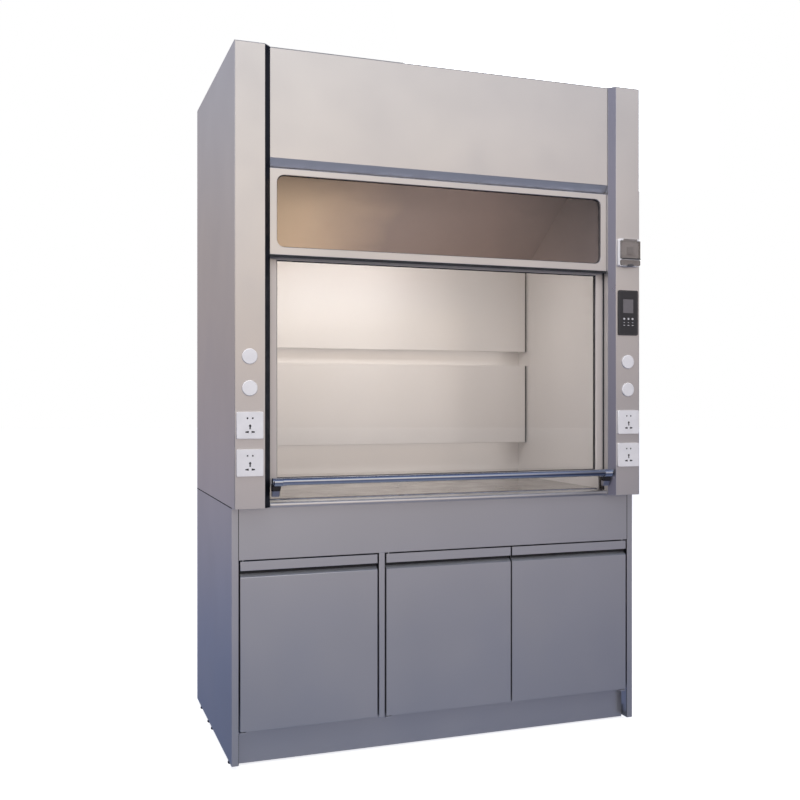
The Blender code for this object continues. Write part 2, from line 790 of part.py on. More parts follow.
def sash():
    """The glazed sash with its lifting lugs and its round handle."""
    front = FRONT + SASH_FRONT
    back = front + SASH_THICK
    outer = (
        (-SASH_OUTER, SASH_BOTTOM),
        (SASH_OUTER, SASH_BOTTOM),
        (SASH_OUTER, SASH_TOP),
        (-SASH_OUTER, SASH_TOP),
    )
    low = (-SASH_INNER, SASH_BOTTOM + BOTTOM_RAIL)
    high = (SASH_INNER, SASH_TOP - TOP_RAIL)
    inner = (low, (high[0], low[1]), high, (low[0], high[1]))
    frame = prism("sash_frame", "aluminium", [outer, inner], "Y", (front, back))
    for hand, side in (("left", -1), ("right", 1)):
        lug = box(
            f"lug_{hand}",
            None,
            (side * (SASH_OUTER - 0.005), side * (CABLE_X + 0.005)),
            (SASH_MID - LUG_THICK / 2, SASH_MID + LUG_THICK / 2),
            (LUG_TOP - LUG_HEIGHT, LUG_TOP),
        )
        add(frame, lug)
    groove = box(
        "glass_groove",
        None,
        (low[0] - GLASS_ENTRY - GAP, high[0] + GLASS_ENTRY + GAP),
        (SASH_MID - SASH_GLASS / 2 - GAP, SASH_MID + SASH_GLASS / 2 + GAP),
        (low[1] - GLASS_ENTRY - GAP, high[1] + GLASS_ENTRY + GAP),
    )
    cut(frame, groove)
    box(
        "sash_glass",
        "glass",
        (low[0] - GLASS_ENTRY, high[0] + GLASS_ENTRY),
        (SASH_MID - SASH_GLASS / 2, SASH_MID + SASH_GLASS / 2),
        (low[1] - GLASS_ENTRY, high[1] + GLASS_ENTRY),
    )
    handle_y = FRONT - HANDLE_REACH + HANDLE_RADIUS
    reach = JAMB - RUNNING
    handle = rod(
        "sash_handle", "chrome", (handle_y, HANDLE_HEIGHT), HANDLE_RADIUS, "X", (-reach, reach)
    )
    for hand, side in (("left", -1), ("right", 1)):
        middle = side * (JAMB - BRACKET_INSET)
        arm = box(
            f"handle_arm_{hand}",
            None,
            (middle - BRACKET[0] / 2, middle + BRACKET[0] / 2),
            (handle_y, front - GAP),
            (HANDLE_HEIGHT - 0.006 - BRACKET[1] / 2, HANDLE_HEIGHT - 0.006 + BRACKET[1] / 2),
        )
        add(handle, arm)
    inner_radius = HANDLE_RADIUS - HANDLE_WALL
    ends = (-reach - 0.01, reach + 0.01)
    bore = rod("handle_bore", None, (handle_y, HANDLE_HEIGHT), inner_radius, "X", ends)
    cut(handle, bore)


def sash_mass():
    """The sash's mass, which the two counterweights share."""
    width = 2 * SASH_INNER
    height = SASH_TOP - SASH_BOTTOM
    light = height - TOP_RAIL - BOTTOM_RAIL
    glass = (width + 2 * GLASS_ENTRY) * (light + 2 * GLASS_ENTRY) * SASH_GLASS * GLASS_DENSITY
    bars = 2 * height * (SASH_OUTER - SASH_INNER) + width * (TOP_RAIL + BOTTOM_RAIL)
    groove = 2 * (width + light) * GLASS_ENTRY * SASH_GLASS
    frame = (bars * SASH_THICK - groove) * ALUMINIUM_DENSITY
    ring = math.pi * (HANDLE_RADIUS**2 - (HANDLE_RADIUS - HANDLE_WALL) ** 2)
    tube = ring * 2 * JAMB * STEEL_DENSITY
    return glass + frame + tube


def balance():
    """On each side: the guide with its pulley axle, the pulley, the cable and the weight."""
    weight_length = sash_mass() / 2 / (STEEL_DENSITY * WEIGHT_SECTION[0] * WEIGHT_SECTION[1])
    for hand, side in (("left", -1), ("right", 1)):
        guide(hand, side)
        pulley(hand, side)
        cable(hand, side)
        inside = CABLE_X - WEIGHT_SECTION[0] / 2
        weight = box(
            f"counterweight_{hand}",
            "steel",
            (side * inside, side * (inside + WEIGHT_SECTION[0])),
            (WEIGHT_Y - WEIGHT_SECTION[1] / 2, WEIGHT_Y + WEIGHT_SECTION[1] / 2),
            (WEIGHT_TOP - weight_length, WEIGHT_TOP),
        )
        soften(weight, 0.002, 1)


def guide(hand, side):
    """The channel that a stile runs in, slotted for the lug, with the pulley's axle on top."""
    front = FRONT + SASH_FRONT - RUNNING
    back = front + SASH_THICK + 2 * RUNNING
    web = SASH_OUTER + RUNNING
    outer = web + TRACK_WEB
    outline = (
        (JAMB, front - TRACK_WALL),
        (outer, front - TRACK_WALL),
        (outer, back + TRACK_WALL),
        (JAMB, back + TRACK_WALL),
        (JAMB, back),
        (web, back),
        (web, front),
        (JAMB, front),
    )
    channel = prism(
        f"sash_track_{hand}",
        "aluminium",
        [mirrored(outline, side)],
        "Z",
        (CASE_BOTTOM, TRACK_TOP),
    )
    ear = box(
        f"axle_plate_{hand}",
        None,
        (side * web, side * outer),
        (back - 0.002, PULLEY_Y + 0.025),
        (PULLEY_Z - 0.045, PULLEY_Z + 0.045),
    )
    add(channel, ear)
    axle = rod(
        f"axle_{hand}",
        None,
        (PULLEY_Y, PULLEY_Z),
        AXLE_RADIUS,
        "X",
        (side * (outer - 0.001), side * (CABLE_X + PULLEY_WIDTH / 2 + 0.003)),
    )
    add(channel, axle)
    slot = box(
        f"lug_slot_{hand}",
        None,
        (side * (web - 0.005), side * (outer + 0.005)),
        (SASH_MID - LUG_THICK, SASH_MID + LUG_THICK),
        (LUG_TOP - LUG_HEIGHT - SASH_DOWN - 0.020, LUG_TOP + SASH_UP + 0.040),
    )
    cut(channel, slot)


def pulley(hand, side):
    """A grooved pulley on its axle."""
    half = PULLEY_WIDTH / 2
    groove = PULLEY_RADIUS - CABLE_RADIUS - GAP
    rim = PULLEY_RADIUS + PULLEY_RIM
    bore = AXLE_RADIUS + PIN_FIT
    profile = (
        (rim, half),
        (rim, half - 0.002),
        (groove, 0.0022),
        (groove, -0.0022),
        (rim, -half + 0.002),
        (rim, -half),
        (bore, -half),
        (bore, half),
    )
    spot = Matrix.Translation((side * CABLE_X, PULLEY_Y, PULLEY_Z)) @ AXIS_TURN["X"]
    smooth(turned(f"pulley_{hand}", "steel", profile, spot))


def cable(hand, side):
    """The wire cable from the sash's lug over the pulley to the counterweight."""
    points = [(SASH_MID, LUG_TOP + GAP), (SASH_MID, PULLEY_Z - 0.02)]
    for step in range(17):
        angle = math.pi - math.pi * step / 16
        y = PULLEY_Y + PULLEY_RADIUS * math.cos(angle)
        points.append((y, PULLEY_Z + PULLEY_RADIUS * math.sin(angle)))
    points.append((WEIGHT_Y, WEIGHT_TOP + GAP))
    curve = bpy.data.curves.new(f"cable_{hand}", "CURVE")
    curve.dimensions = "3D"
    curve.bevel_depth = CABLE_RADIUS
    curve.bevel_resolution = 2
    curve.use_fill_caps = True
    spline = curve.splines.new("POLY")
    spline.points.add(len(points) - 1)
    for point, (y, z) in zip(spline.points, points):
        point.co = (side * CABLE_X, y, z, 1)
    solid_of(f"cable_{hand}", "steel", curve, Matrix.Identity(4))


# ---------------------------------------------------------------- services
def socket(name, x, z, post):
    """A wall socket with two upper round holes and three slots below, and its box."""
    half = SOCKET_SIZE / 2
    outline = round_corners((x - half, z - half), (x + half, z + half), 0.004, 3)
    plate = prism(name, "white_plastic", [outline], "Y", (FRONT - SOCKET_PROUD, FRONT - GAP))
    reach = SOCKET_BOX[0] / 2
    shell = box(
        f"{name}_box",
        None,
        (x - reach, x + reach),
        (FRONT - 0.002, FRONT + SOCKET_BOX[1]),
        (z - reach, z + reach),
    )
    add(plate, shell)
    face = (FRONT - SOCKET_PROUD - 0.002, FRONT + 0.006)
    for hand, side in (("left", -1), ("right", 1)):
        pin = rod(
            f"{name}_pin_{hand}", None, (x + side * PIN_PITCH / 2, z + PIN_ABOVE), PIN_HOLE, "Y", face, 16
        )
        cut(plate, pin)
        slot = [(x + side * out, z - SLOT_BELOW + up) for out, up in FLARED_SLOT]
        cut(plate, prism(f"{name}_slot_{hand}", None, [slot[::side]], "Y", face))
    earth = rod(f"{name}_earth", None, (x, z - EARTH_BELOW), EARTH_HOLE, "Y", face, 16)
    cut(plate, earth)
    stem_x = (x - EARTH_STEM[0] / 2, x + EARTH_STEM[0] / 2)
    stem_z = (z - EARTH_BELOW - EARTH_STEM[1], z - EARTH_BELOW)
    cut(plate, box(f"{name}_earth_stem", None, stem_x, face, stem_z))
    cut_post(post, name, (x - reach, x + reach), (z - reach, z + reach))


def cut_post(post, name, xs, zs):
    """Opens a post's face for the box of a service."""
    hole = box(
        f"{name}_opening",
        None,
        (xs[0] - GAP, xs[1] + GAP),
        (FRONT - 0.005, FRONT + 0.010),
        (zs[0] - GAP, zs[1] + GAP),
    )
    cut(post, hole)


def blank_cap(name, x, z, post):
    """A round cap that closes an unused service hole."""
    profile = (
        (0, CAP_PROUD),
        (CAP_RADIUS - 0.0015, CAP_PROUD),
        (CAP_RADIUS, CAP_PROUD - 0.0015),
        (CAP_RADIUS, GAP),
        (CAP_BOSS, GAP),
        (CAP_BOSS, -0.012),
        (0, -0.012),
    )
    spot = Matrix.Translation((x, FRONT, z)) @ AXIS_TURN["Y"]
    smooth(turned(name, "white_plastic", profile, spot))
    hole = rod(f"{name}_hole", None, (x, z), CAP_BOSS + 2 * GAP, "Y", (FRONT - 0.005, FRONT + 0.010))
    cut(post, hole)


def controller(x, post):
    """The control panel with its sunk screen and three push keys."""
    width, height = PANEL_SIZE
    low = (x - width / 2, PANEL_HEIGHT - height / 2)
    high = (x + width / 2, PANEL_HEIGHT + height / 2)
    face = FRONT - PANEL_PROUD
    plate = prism(
        "control_panel", "black_plastic", [round_corners(low, high, 0.005, 4)], "Y", (face, FRONT - GAP)
    )
    half_x, half_z, depth = PANEL_BODY[0] / 2, PANEL_BODY[1] / 2, PANEL_BODY[2]
    xs = (x - half_x, x + half_x)
    zs = (PANEL_HEIGHT - half_z, PANEL_HEIGHT + half_z)
    add(plate, box("control_body", None, xs, (FRONT - 0.002, FRONT + depth), zs))
    screen_z = PANEL_HEIGHT + SCREEN_ABOVE
    recess = box(
        "screen_recess",
        None,
        (x - SCREEN_SIZE[0] / 2, x + SCREEN_SIZE[0] / 2),
        (face - 0.002, face + SCREEN_SUNK),
        (screen_z - SCREEN_SIZE[1] / 2, screen_z + SCREEN_SIZE[1] / 2),
    )
    cut(plate, recess)
    key_z = PANEL_HEIGHT - KEY_BELOW
    for name, step in (("left", -1), ("middle", 0), ("right", 1)):
        key_x = x + step * KEY_PITCH
        well = rod(
            f"key_well_{name}",
            None,
            (key_x, key_z),
            KEY_RADIUS + GAP,
            "Y",
            (face - 0.002, face + KEY_WELL),
            32,
        )
        cut(plate, well)
        span = (face - KEY_PROUD, face - KEY_PROUD + KEY_LENGTH)
        key = rod(f"key_{name}", "key_plastic", (key_x, key_z), KEY_RADIUS, "Y", span, 32)
        move_origin(key, (key_x, face, key_z))
    cut_post(post, "control_panel", xs, zs)


def splash_cover(x):
    """The splash-proof box on the right post and its hinged smoky lid."""
    width, height, depth = SPLASH_SIZE
    low = (x - width / 2, SPLASH_HEIGHT - height / 2)
    high = (x + width / 2, SPLASH_HEIGHT + height / 2)
    face = FRONT - depth
    plate = prism(
        "splash_box", "white_plastic", [round_corners(low, high, 0.006, 4)], "Y", (face, FRONT - GAP)
    )
    hinge_y = face - BARREL_RADIUS - 0.0012
    hinge_z = high[1] - BARREL_RADIUS - 0.001
    for hand, side in (("left", -1), ("right", 1)):
        inner = x + side * (BARREL_LENGTH / 2 + GAP)
        lug = box(
            f"splash_lug_{hand}",
            None,
            (inner, inner + side * LUG_WIDTH),
            (hinge_y - BARREL_RADIUS, face + 0.002),
            (hinge_z - BARREL_RADIUS, hinge_z + BARREL_RADIUS),
        )
        add(plate, lug)
        bore = rod(
            f"splash_bore_{hand}",
            None,
            (hinge_y, hinge_z),
            SPINDLE_RADIUS + PIN_FIT,
            "X",
            (inner - side * 0.002, inner + side * (LUG_WIDTH - 0.002)),
            24,
        )
        cut(plate, bore)
    lid_top = hinge_z - LID_CLEAR * BARREL_RADIUS
    back = face - GAP
    lid = box(
        "splash_lid",
        "smoke",
        (x - LID_SIZE[0] / 2, x + LID_SIZE[0] / 2),
        (back - LID_DEPTH, back),
        (lid_top - LID_SIZE[1], lid_top),
    )
    hollow = box(
        "lid_hollow",
        None,
        (x - LID_SIZE[0] / 2 + LID_WALL, x + LID_SIZE[0] / 2 - LID_WALL),
        (back - LID_DEPTH + LID_WALL, back + 0.002),
        (lid_top - LID_SIZE[1] + LID_WALL, lid_top - LID_WALL),
    )
    cut(lid, hollow)
    half = BARREL_LENGTH / 2
    barrel = rod("lid_barrel", None, (hinge_y, hinge_z), BARREL_RADIUS, "X", (x - half, x + half), 24)
    add(lid, barrel)
    web = box(
        "lid_web",
        None,
        (x - half, x + half),
        (hinge_y - 0.002, hinge_y + 0.002),
        (lid_top - LID_WALL, hinge_z),
    )
    add(lid, web)
    reach = half + LUG_WIDTH - 0.003
    spindle = rod("lid_spindle", None, (hinge_y, hinge_z), SPINDLE_RADIUS, "X", (x - reach, x + reach), 24)
    add(lid, spindle)
    move_origin(lid, (x, hinge_y, hinge_z))


def services(post_by_hand):
    """Sockets and blank caps on both posts, and the controls on the right one."""
    for hand, side in (("left", -1), ("right", 1)):
        x = side * SERVICE_X
        post = post_by_hand[hand]
        for level, z in SOCKET_HEIGHTS.items():
            socket(f"socket_{hand}_{level}", x, z, post)
        for level, z in CAP_HEIGHTS.items():
            blank_cap(f"blank_cap_{hand}_{level}", x, z, post)
    controller(SERVICE_X, post_by_hand["right"])
    splash_cover(SERVICE_X)


base()
front_posts = posts()
casing()
chamber()
sash()
balance()
services(front_posts)
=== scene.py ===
"""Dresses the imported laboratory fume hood: finishes, fittings, light, floor and camera.

Each class is one sub-assembly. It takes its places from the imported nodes, gives them eased
edges and a finish, and adds the small fittings that the solid model leaves out.
"""

from __future__ import annotations

import json
import logging
import math
from dataclasses import dataclass
from enum import Enum
from typing import Any, ClassVar, Iterable, Sequence

import bmesh
import bpy
from mathutils import Matrix, Vector

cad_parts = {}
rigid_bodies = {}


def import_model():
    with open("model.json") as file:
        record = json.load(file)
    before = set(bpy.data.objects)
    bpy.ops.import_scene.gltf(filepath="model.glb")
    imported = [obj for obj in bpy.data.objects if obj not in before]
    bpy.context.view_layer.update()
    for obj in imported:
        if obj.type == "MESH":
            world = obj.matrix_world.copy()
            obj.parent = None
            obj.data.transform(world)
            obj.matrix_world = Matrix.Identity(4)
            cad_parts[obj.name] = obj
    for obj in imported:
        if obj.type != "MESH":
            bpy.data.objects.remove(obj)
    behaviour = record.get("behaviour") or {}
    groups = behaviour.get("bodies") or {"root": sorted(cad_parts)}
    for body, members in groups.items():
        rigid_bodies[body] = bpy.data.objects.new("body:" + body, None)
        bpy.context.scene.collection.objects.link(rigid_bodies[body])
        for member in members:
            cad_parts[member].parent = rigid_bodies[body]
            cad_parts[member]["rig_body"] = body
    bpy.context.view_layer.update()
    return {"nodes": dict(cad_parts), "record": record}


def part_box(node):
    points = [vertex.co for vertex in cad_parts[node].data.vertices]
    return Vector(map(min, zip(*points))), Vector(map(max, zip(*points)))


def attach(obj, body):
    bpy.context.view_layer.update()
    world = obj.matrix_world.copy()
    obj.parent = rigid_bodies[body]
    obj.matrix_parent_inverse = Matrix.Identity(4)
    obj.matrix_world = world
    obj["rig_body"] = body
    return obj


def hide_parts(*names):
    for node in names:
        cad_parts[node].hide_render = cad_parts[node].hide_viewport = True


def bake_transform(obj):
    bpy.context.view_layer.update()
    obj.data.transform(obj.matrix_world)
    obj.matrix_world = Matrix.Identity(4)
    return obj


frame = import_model()

Colour = tuple[float, float, float]
Point = tuple[float, float]
Triple = Sequence[float]
Socket = bpy.types.NodeSocket

log = logging.getLogger("fume_hood")


# ---------------------------------------------------------------- finishes
class Graph:
    """The node graph of one finish: a Principled shader fed from Object coordinates."""

    def __init__(self, name: str) -> None:
        """Starts a material that holds one Principled shader.

        Args:
            name: The material's name.
        """
        self.material = bpy.data.materials.new(name)
        self.material.use_nodes = True
        tree = self.material.node_tree
        self.nodes = tree.nodes
        self.links = tree.links
        self.shader = self.nodes["Principled BSDF"]
        self.output = self.nodes["Material Output"]
        self.place = self.nodes.new("ShaderNodeTexCoord").outputs["Object"]
        self.normal: Socket | None = None

    def set(self, **values: Any) -> None:
        """Sets sockets of the shader; an underscore in a name stands for a space."""
        for name, value in values.items():
            self.shader.inputs[name.replace("_", " ")].default_value = value

    def feed(self, source: Socket, name: str) -> None:
        """Links a socket to the shader's input of that name."""
        self.links.new(source, self.shader.inputs[name])

    def stretched(self, scale: Triple) -> Socket:
        """Scales the coordinates by a different number on each axis.

        Args:
            scale: The three numbers.

        Returns:
            The scaled coordinates.
        """
        mapping = self.nodes.new("ShaderNodeMapping")
        mapping.inputs["Scale"].default_value = scale
        self.links.new(self.place, mapping.inputs["Vector"])
        return mapping.outputs["Vector"]

    def noise(self, scale: float, detail: float = 2.0, stretch: Triple = (1, 1, 1)) -> Socket:
        """Adds a noise pattern.

        Args:
            scale: Features in a metre.
            detail: How many finer layers the pattern has.
            stretch: Extra scale on each axis, for a grain that runs one way.

        Returns:
            The pattern's value, from 0 to 1.
        """
        noise = self.nodes.new("ShaderNodeTexNoise")
        noise.inputs["Scale"].default_value = scale
        noise.inputs["Detail"].default_value = detail
        self.links.new(self.stretched(stretch), noise.inputs["Vector"])
        return noise.outputs["Fac"]

    def span(
        self, value: Socket, low: float, high: float, start: float = 0.3, end: float = 0.7
    ) -> Socket:
        """Spreads a value from start..end over low..high.

        Args:
            value: What is spread.
            low: The result at start and below.
            high: The result at end and above.
            start: The value that gives low.
            end: The value that gives high.

        Returns:
            The spread value.
        """
        spread = self.nodes.new("ShaderNodeMapRange")
        for name, number in (("From Min", start), ("From Max", end), ("To Min", low), ("To Max", high)):
            spread.inputs[name].default_value = number
        self.links.new(value, spread.inputs["Value"])
        return spread.outputs["Result"]

    def combined(self, how: str, first: Socket, second: Socket) -> Socket:
        """Puts two values together.

        Args:
            how: The Math node's operation.
            first: One value.
            second: The other value.

        Returns:
            The result.
        """
        node = self.nodes.new("ShaderNodeMath")
        node.operation = how
        self.links.new(first, node.inputs[0])
        self.links.new(second, node.inputs[1])
        return node.outputs["Value"]

    def product(self, first: Socket, second: Socket) -> Socket:
        """Returns the product of two values."""
        return self.combined("MULTIPLY", first, second)

    def sum(self, first: Socket, second: Socket) -> Socket:
        """Returns the sum of two values."""
        return self.combined("ADD", first, second)

    def mix(self, factor: Socket, first: Colour | Socket, second: Colour | Socket) -> Socket:
        """Mixes two colours.

        Args:
            factor: How much of the second colour shows.
            first: A colour, or a socket that gives one.
            second: A colour, or a socket that gives one.

        Returns:
            The mixed colour.
        """
        mix = self.nodes.new("ShaderNodeMix")
        mix.data_type = "RGBA"
        self.links.new(factor, mix.inputs["Factor"])
        for name, colour in (("A", first), ("B", second)):
            target = next(s for s in mix.inputs if s.name == name and s.type == "RGBA")
            if isinstance(colour, tuple):
                target.default_value = (*colour, 1.0)
            else:
                self.links.new(colour, target)
        return next(s for s in mix.outputs if s.type == "RGBA")

    def relief(self, height: Socket, depth: float, strength: float = 1.0) -> None:
        """Adds a bump over those already there.

        Args:
            height: The pattern that rises and falls.
            depth: How far its highest point stands over its lowest, in metres.
            strength: How much of it shows.
        """
        bump = self.nodes.new("ShaderNodeBump")
        bump.inputs["Distance"].default_value = depth
        bump.inputs["Strength"].default_value = strength
        self.links.new(height, bump.inputs["Height"])
        if self.normal is not None:
            self.links.new(self.normal, bump.inputs["Normal"])
        self.normal = bump.outputs["Normal"]
        self.feed(self.normal, "Normal")

    def edge_wear_and_highlight(self, amount: float) -> Socket:
        """Finds an eased edge's wear and painted highlight: none on flats, and in patches along edges.

        Args:
            amount: The wear and painted highlight of the most marked patches, from 0 to 1.

        Returns:
            The wear and painted highlight.
        """
        edge = self.nodes.new("ShaderNodeAttribute")
        edge.attribute_name = "edge"
        broken = self.span(self.noise(38, 4), 0.35 * amount, amount, 0.35, 0.65)
        return self.product(edge.outputs["Fac"], broken)

    def lets_light_through(self) -> None:
        """Lets light reach what stands behind the surface, as a clear pane does."""
        path = self.nodes.new("ShaderNodeLightPath")
        clear = self.nodes.new("ShaderNodeBsdfTransparent")
        either = self.combined("MAXIMUM", path.outputs["Is Shadow Ray"], path.outputs["Is Diffuse Ray"])
        mix = self.nodes.new("ShaderNodeMixShader")
        self.links.new(either, mix.inputs["Fac"])
        self.links.new(self.shader.outputs["BSDF"], mix.inputs[1])
        self.links.new(clear.outputs["BSDF"], mix.inputs[2])
        self.links.new(mix.outputs["Shader"], self.output.inputs["Surface"])


def shade(colour: Colour, factor: float) -> Colour:
    """Returns a lighter or darker version of a colour."""
    return tuple(min(channel * factor, 1.0) for channel in colour)


@dataclass(frozen=True)
class Finish:
    """A surface finish. Each one is made into a material once."""

    name: str
    colour: Colour

    made: ClassVar[dict[Finish, bpy.types.Material]] = {}

    def material(self) -> bpy.types.Material:
        """Makes the finish's material the first time it is asked for.

        Returns:
            The material.
        """
        if self not in Finish.made:
            graph = Graph(self.name)
            self.build(graph)
            Finish.made[self] = graph.material
        return Finish.made[self]

    def build(self, graph: Graph) -> None:
        """Wires the finish's own nodes."""
        raise NotImplementedError


@dataclass(frozen=True)
class PowderCoat(Finish):
    """Baked powder coat: faint orange peel, soft cloudy tone, and edges lightened partly as wear and
    partly as a painted highlight.
    """

    metal: float = 0.55
    gloss: tuple[float, float] = (0.30, 0.36)
    peel: float = 0.00016

    def build(self, graph: Graph) -> None:
        """Wires the coat's tone, gloss, orange peel, and edges lightened as wear and as a painted
        highlight.

        Args:
            graph: The material\'s nodes.
        """
        cloud = graph.noise(1.6, 3)
        tone = graph.mix(graph.span(cloud, 0, 1), shade(self.colour, 0.965), shade(self.colour, 1.03))
        fleck = graph.span(graph.noise(700, 1), 0.0, 0.10, 0.58, 0.75)
        tone = graph.mix(fleck, tone, shade(self.colour, 1.25))
        # Edges lightened: partly wear, partly a painted highlight on the eased edge.
        tone = graph.mix(graph.edge_wear_and_highlight(0.5), tone, shade(self.colour, 1.45))
        graph.feed(tone, "Base Color")
        graph.feed(graph.span(graph.noise(5, 4), *self.gloss), "Roughness")
        graph.set(Metallic=self.metal, Coat_Weight=0.12, Coat_Roughness=0.22)
        graph.relief(graph.noise(260, 2), self.peel, 0.35)


@dataclass(frozen=True)
class LiningBoard(Finish):
    """Smooth lining board: satin, with a faint upright sanding grain and old wipe marks."""

    def build(self, graph: Graph) -> None:
        """Wires the board's tone, wipe marks and sanding grain.

        Args:
            graph: The material\'s nodes.
        """
        cloud = graph.noise(2.1, 4, (1, 1, 0.45))
        tone = graph.mix(graph.span(cloud, 0, 1), shade(self.colour, 0.96), shade(self.colour, 1.03))
        # Edges lightened: partly wear, partly a painted highlight on the eased edge.
        tone = graph.mix(graph.edge_wear_and_highlight(0.6), tone, shade(self.colour, 1.3))
        graph.feed(tone, "Base Color")
        graph.feed(graph.span(graph.noise(5, 3, (1, 1, 0.3)), 0.29, 0.34), "Roughness")
        graph.set(Metallic=0.5, Coat_Weight=0.15, Coat_Roughness=0.15)
        graph.relief(graph.noise(420, 2, (1, 1, 0.05)), 0.00008, 0.25)


@dataclass(frozen=True)
class Worktop(Finish):
    """Solid dark worktop: fine mineral speckle under a half-polished skin."""

    def build(self, graph: Graph) -> None:
        """Wires the speckle, the wiped gloss and the skin's relief.

        Args:
            graph: The material\'s nodes.
        """
        speckle = graph.span(graph.noise(900, 3), 0, 1, 0.52, 0.66)
        tone = graph.mix(speckle, shade(self.colour, 0.85), shade(self.colour, 1.5))
        stain = graph.span(graph.noise(4.5, 5), 0.0, 0.35)
        tone = graph.mix(stain, tone, shade(self.colour, 0.7))
        # Edges lightened: partly wear, partly a painted highlight on the eased edge.
        tone = graph.mix(graph.edge_wear_and_highlight(0.6), tone, shade(self.colour, 1.7))
        graph.feed(tone, "Base Color")
        graph.feed(graph.span(graph.noise(9, 5), 0.16, 0.30), "Roughness")
        graph.set(Coat_Weight=0.3, Coat_Roughness=0.1)
        graph.relief(graph.noise(500, 2), 0.0001, 0.25)


@dataclass(frozen=True)
class DrawnMetal(Finish):
    """Bare or clear-coated metal with the fine lines of its drawing or brushing."""

    grain: tuple[float, float, float] = (1, 1, 0.02)
    gloss: tuple[float, float] = (0.22, 0.36)
    metal: float = 1.0

    def build(self, graph: Graph) -> None:
        """Wires the grain's tone, gloss and relief.

        Args:
            graph: The material\'s nodes.
        """
        lines = graph.noise(900, 3, self.grain)
        tone = graph.mix(graph.span(lines, 0, 1), shade(self.colour, 0.88), shade(self.colour, 1.06))
        # Edges lightened: partly wear, partly a painted highlight on the eased edge.
        tone = graph.mix(graph.edge_wear_and_highlight(0.5), tone, shade(self.colour, 1.35))
        graph.feed(tone, "Base Color")
        graph.feed(graph.span(graph.noise(12, 4, self.grain), *self.gloss), "Roughness")
        graph.set(Metallic=self.metal)
        graph.relief(lines, 0.00006, 0.3)


@dataclass(frozen=True)
class Plating(Finish):
    """Polished plating with faint finger marks."""

    def build(self, graph: Graph) -> None:
        """Wires the marks into the plating's gloss.

        Args:
            graph: The material\'s nodes.
        """
        marks = graph.noise(46, 5)
        tone = graph.mix(graph.span(marks, 0, 1), shade(self.colour, 0.94), self.colour)
        graph.feed(tone, "Base Color")
        graph.feed(graph.span(marks, 0.06, 0.15), "Roughness")
        graph.set(Metallic=1.0)
        graph.relief(graph.noise(1200, 1), 0.00002, 0.15)


@dataclass(frozen=True)
class Pane(Finish):
    """Clear or tinted pane with a thin film of wiped haze."""

    haze: tuple[float, float] = (0.0, 0.004)
    clear: float = 1.0

    def build(self, graph: Graph) -> None:
        """Wires the pane's tint and wiped haze, and lets light through it.

        Args:
            graph: The material\'s nodes.
        """
        film = graph.noise(3.4, 5, (1, 1, 0.35))
        tone = graph.mix(graph.span(film, 0, 1), shade(self.colour, 0.985), self.colour)
        graph.feed(tone, "Base Color")
        graph.feed(graph.span(film, *self.haze), "Roughness")
        graph.set(Transmission_Weight=self.clear, IOR=1.46)
        graph.lets_light_through()


@dataclass(frozen=True)
class FilmPane(Pane):
    """Pane under a bronze film, with painted light across it: a warm bright end fading to a dim grey end.
    """

    painted_light_stops: tuple[tuple[float, Colour], ...] = ()
    reach: float = 0.617

    def build(self, graph: Graph) -> None:
        """Wires the plain pane, then the painted light's fade along X with a cloudy border.

        Args:
            graph: The material\'s nodes.
        """
        super().build(graph)
        split = graph.nodes.new("ShaderNodeSeparateXYZ")
        graph.links.new(graph.place, split.inputs["Vector"])
        # Painted light: the film is brighter and warmer at the -X end and shaded grey towards +X.
        along = graph.span(split.outputs["X"], 0.0, 0.9, -self.reach, self.reach)
        cloud = graph.span(graph.noise(1.8, 3, (1, 1, 2.2)), 0.0, 0.1)
        ramp = graph.nodes.new("ShaderNodeValToRGB")
        graph.links.new(graph.sum(along, cloud), ramp.inputs["Fac"])
        for number, (place, tone) in enumerate(self.painted_light_stops):
            elements = ramp.color_ramp.elements
            stop = elements[number] if number < 2 else elements.new(place)
            stop.position = place
            stop.color = (*tone, 1.0)
        graph.feed(ramp.outputs["Color"], "Base Color")


@dataclass(frozen=True)
class Moulding(Finish):
    """Moulded plastic with a fine spark-eroded skin."""

    gloss: tuple[float, float] = (0.28, 0.40)
    grain: float = 0.00008

    def build(self, graph: Graph) -> None:
        """Wires the moulding's tone, gloss and skin.

        Args:
            graph: The material\'s nodes.
        """
        cloud = graph.noise(22, 3)
        tone = graph.mix(graph.span(cloud, 0, 1), shade(self.colour, 0.95), shade(self.colour, 1.04))
        # Edges lightened: partly wear, partly a painted highlight on the eased edge.
        tone = graph.mix(graph.edge_wear_and_highlight(0.5), tone, shade(self.colour, 1.25))
        graph.feed(tone, "Base Color")
        graph.feed(graph.span(graph.noise(30, 4), *self.gloss), "Roughness")
        graph.set(IOR=1.49)
        graph.relief(graph.noise(1500, 2), self.grain, 0.4)


@dataclass(frozen=True)
class Rubber(Finish):
    """Dull rubber with a dusty bloom."""

    def build(self, graph: Graph) -> None:
        """Wires the rubber's bloom and skin.

        Args:
            graph: The material\'s nodes.
        """
        bloom = graph.noise(60, 4)
        graph.feed(graph.mix(graph.span(bloom, 0, 1), self.colour, shade(self.colour, 1.9)), "Base Color")
        graph.feed(graph.span(bloom, 0.6, 0.85), "Roughness")
        graph.relief(graph.noise(1100, 2), 0.0001, 0.4)


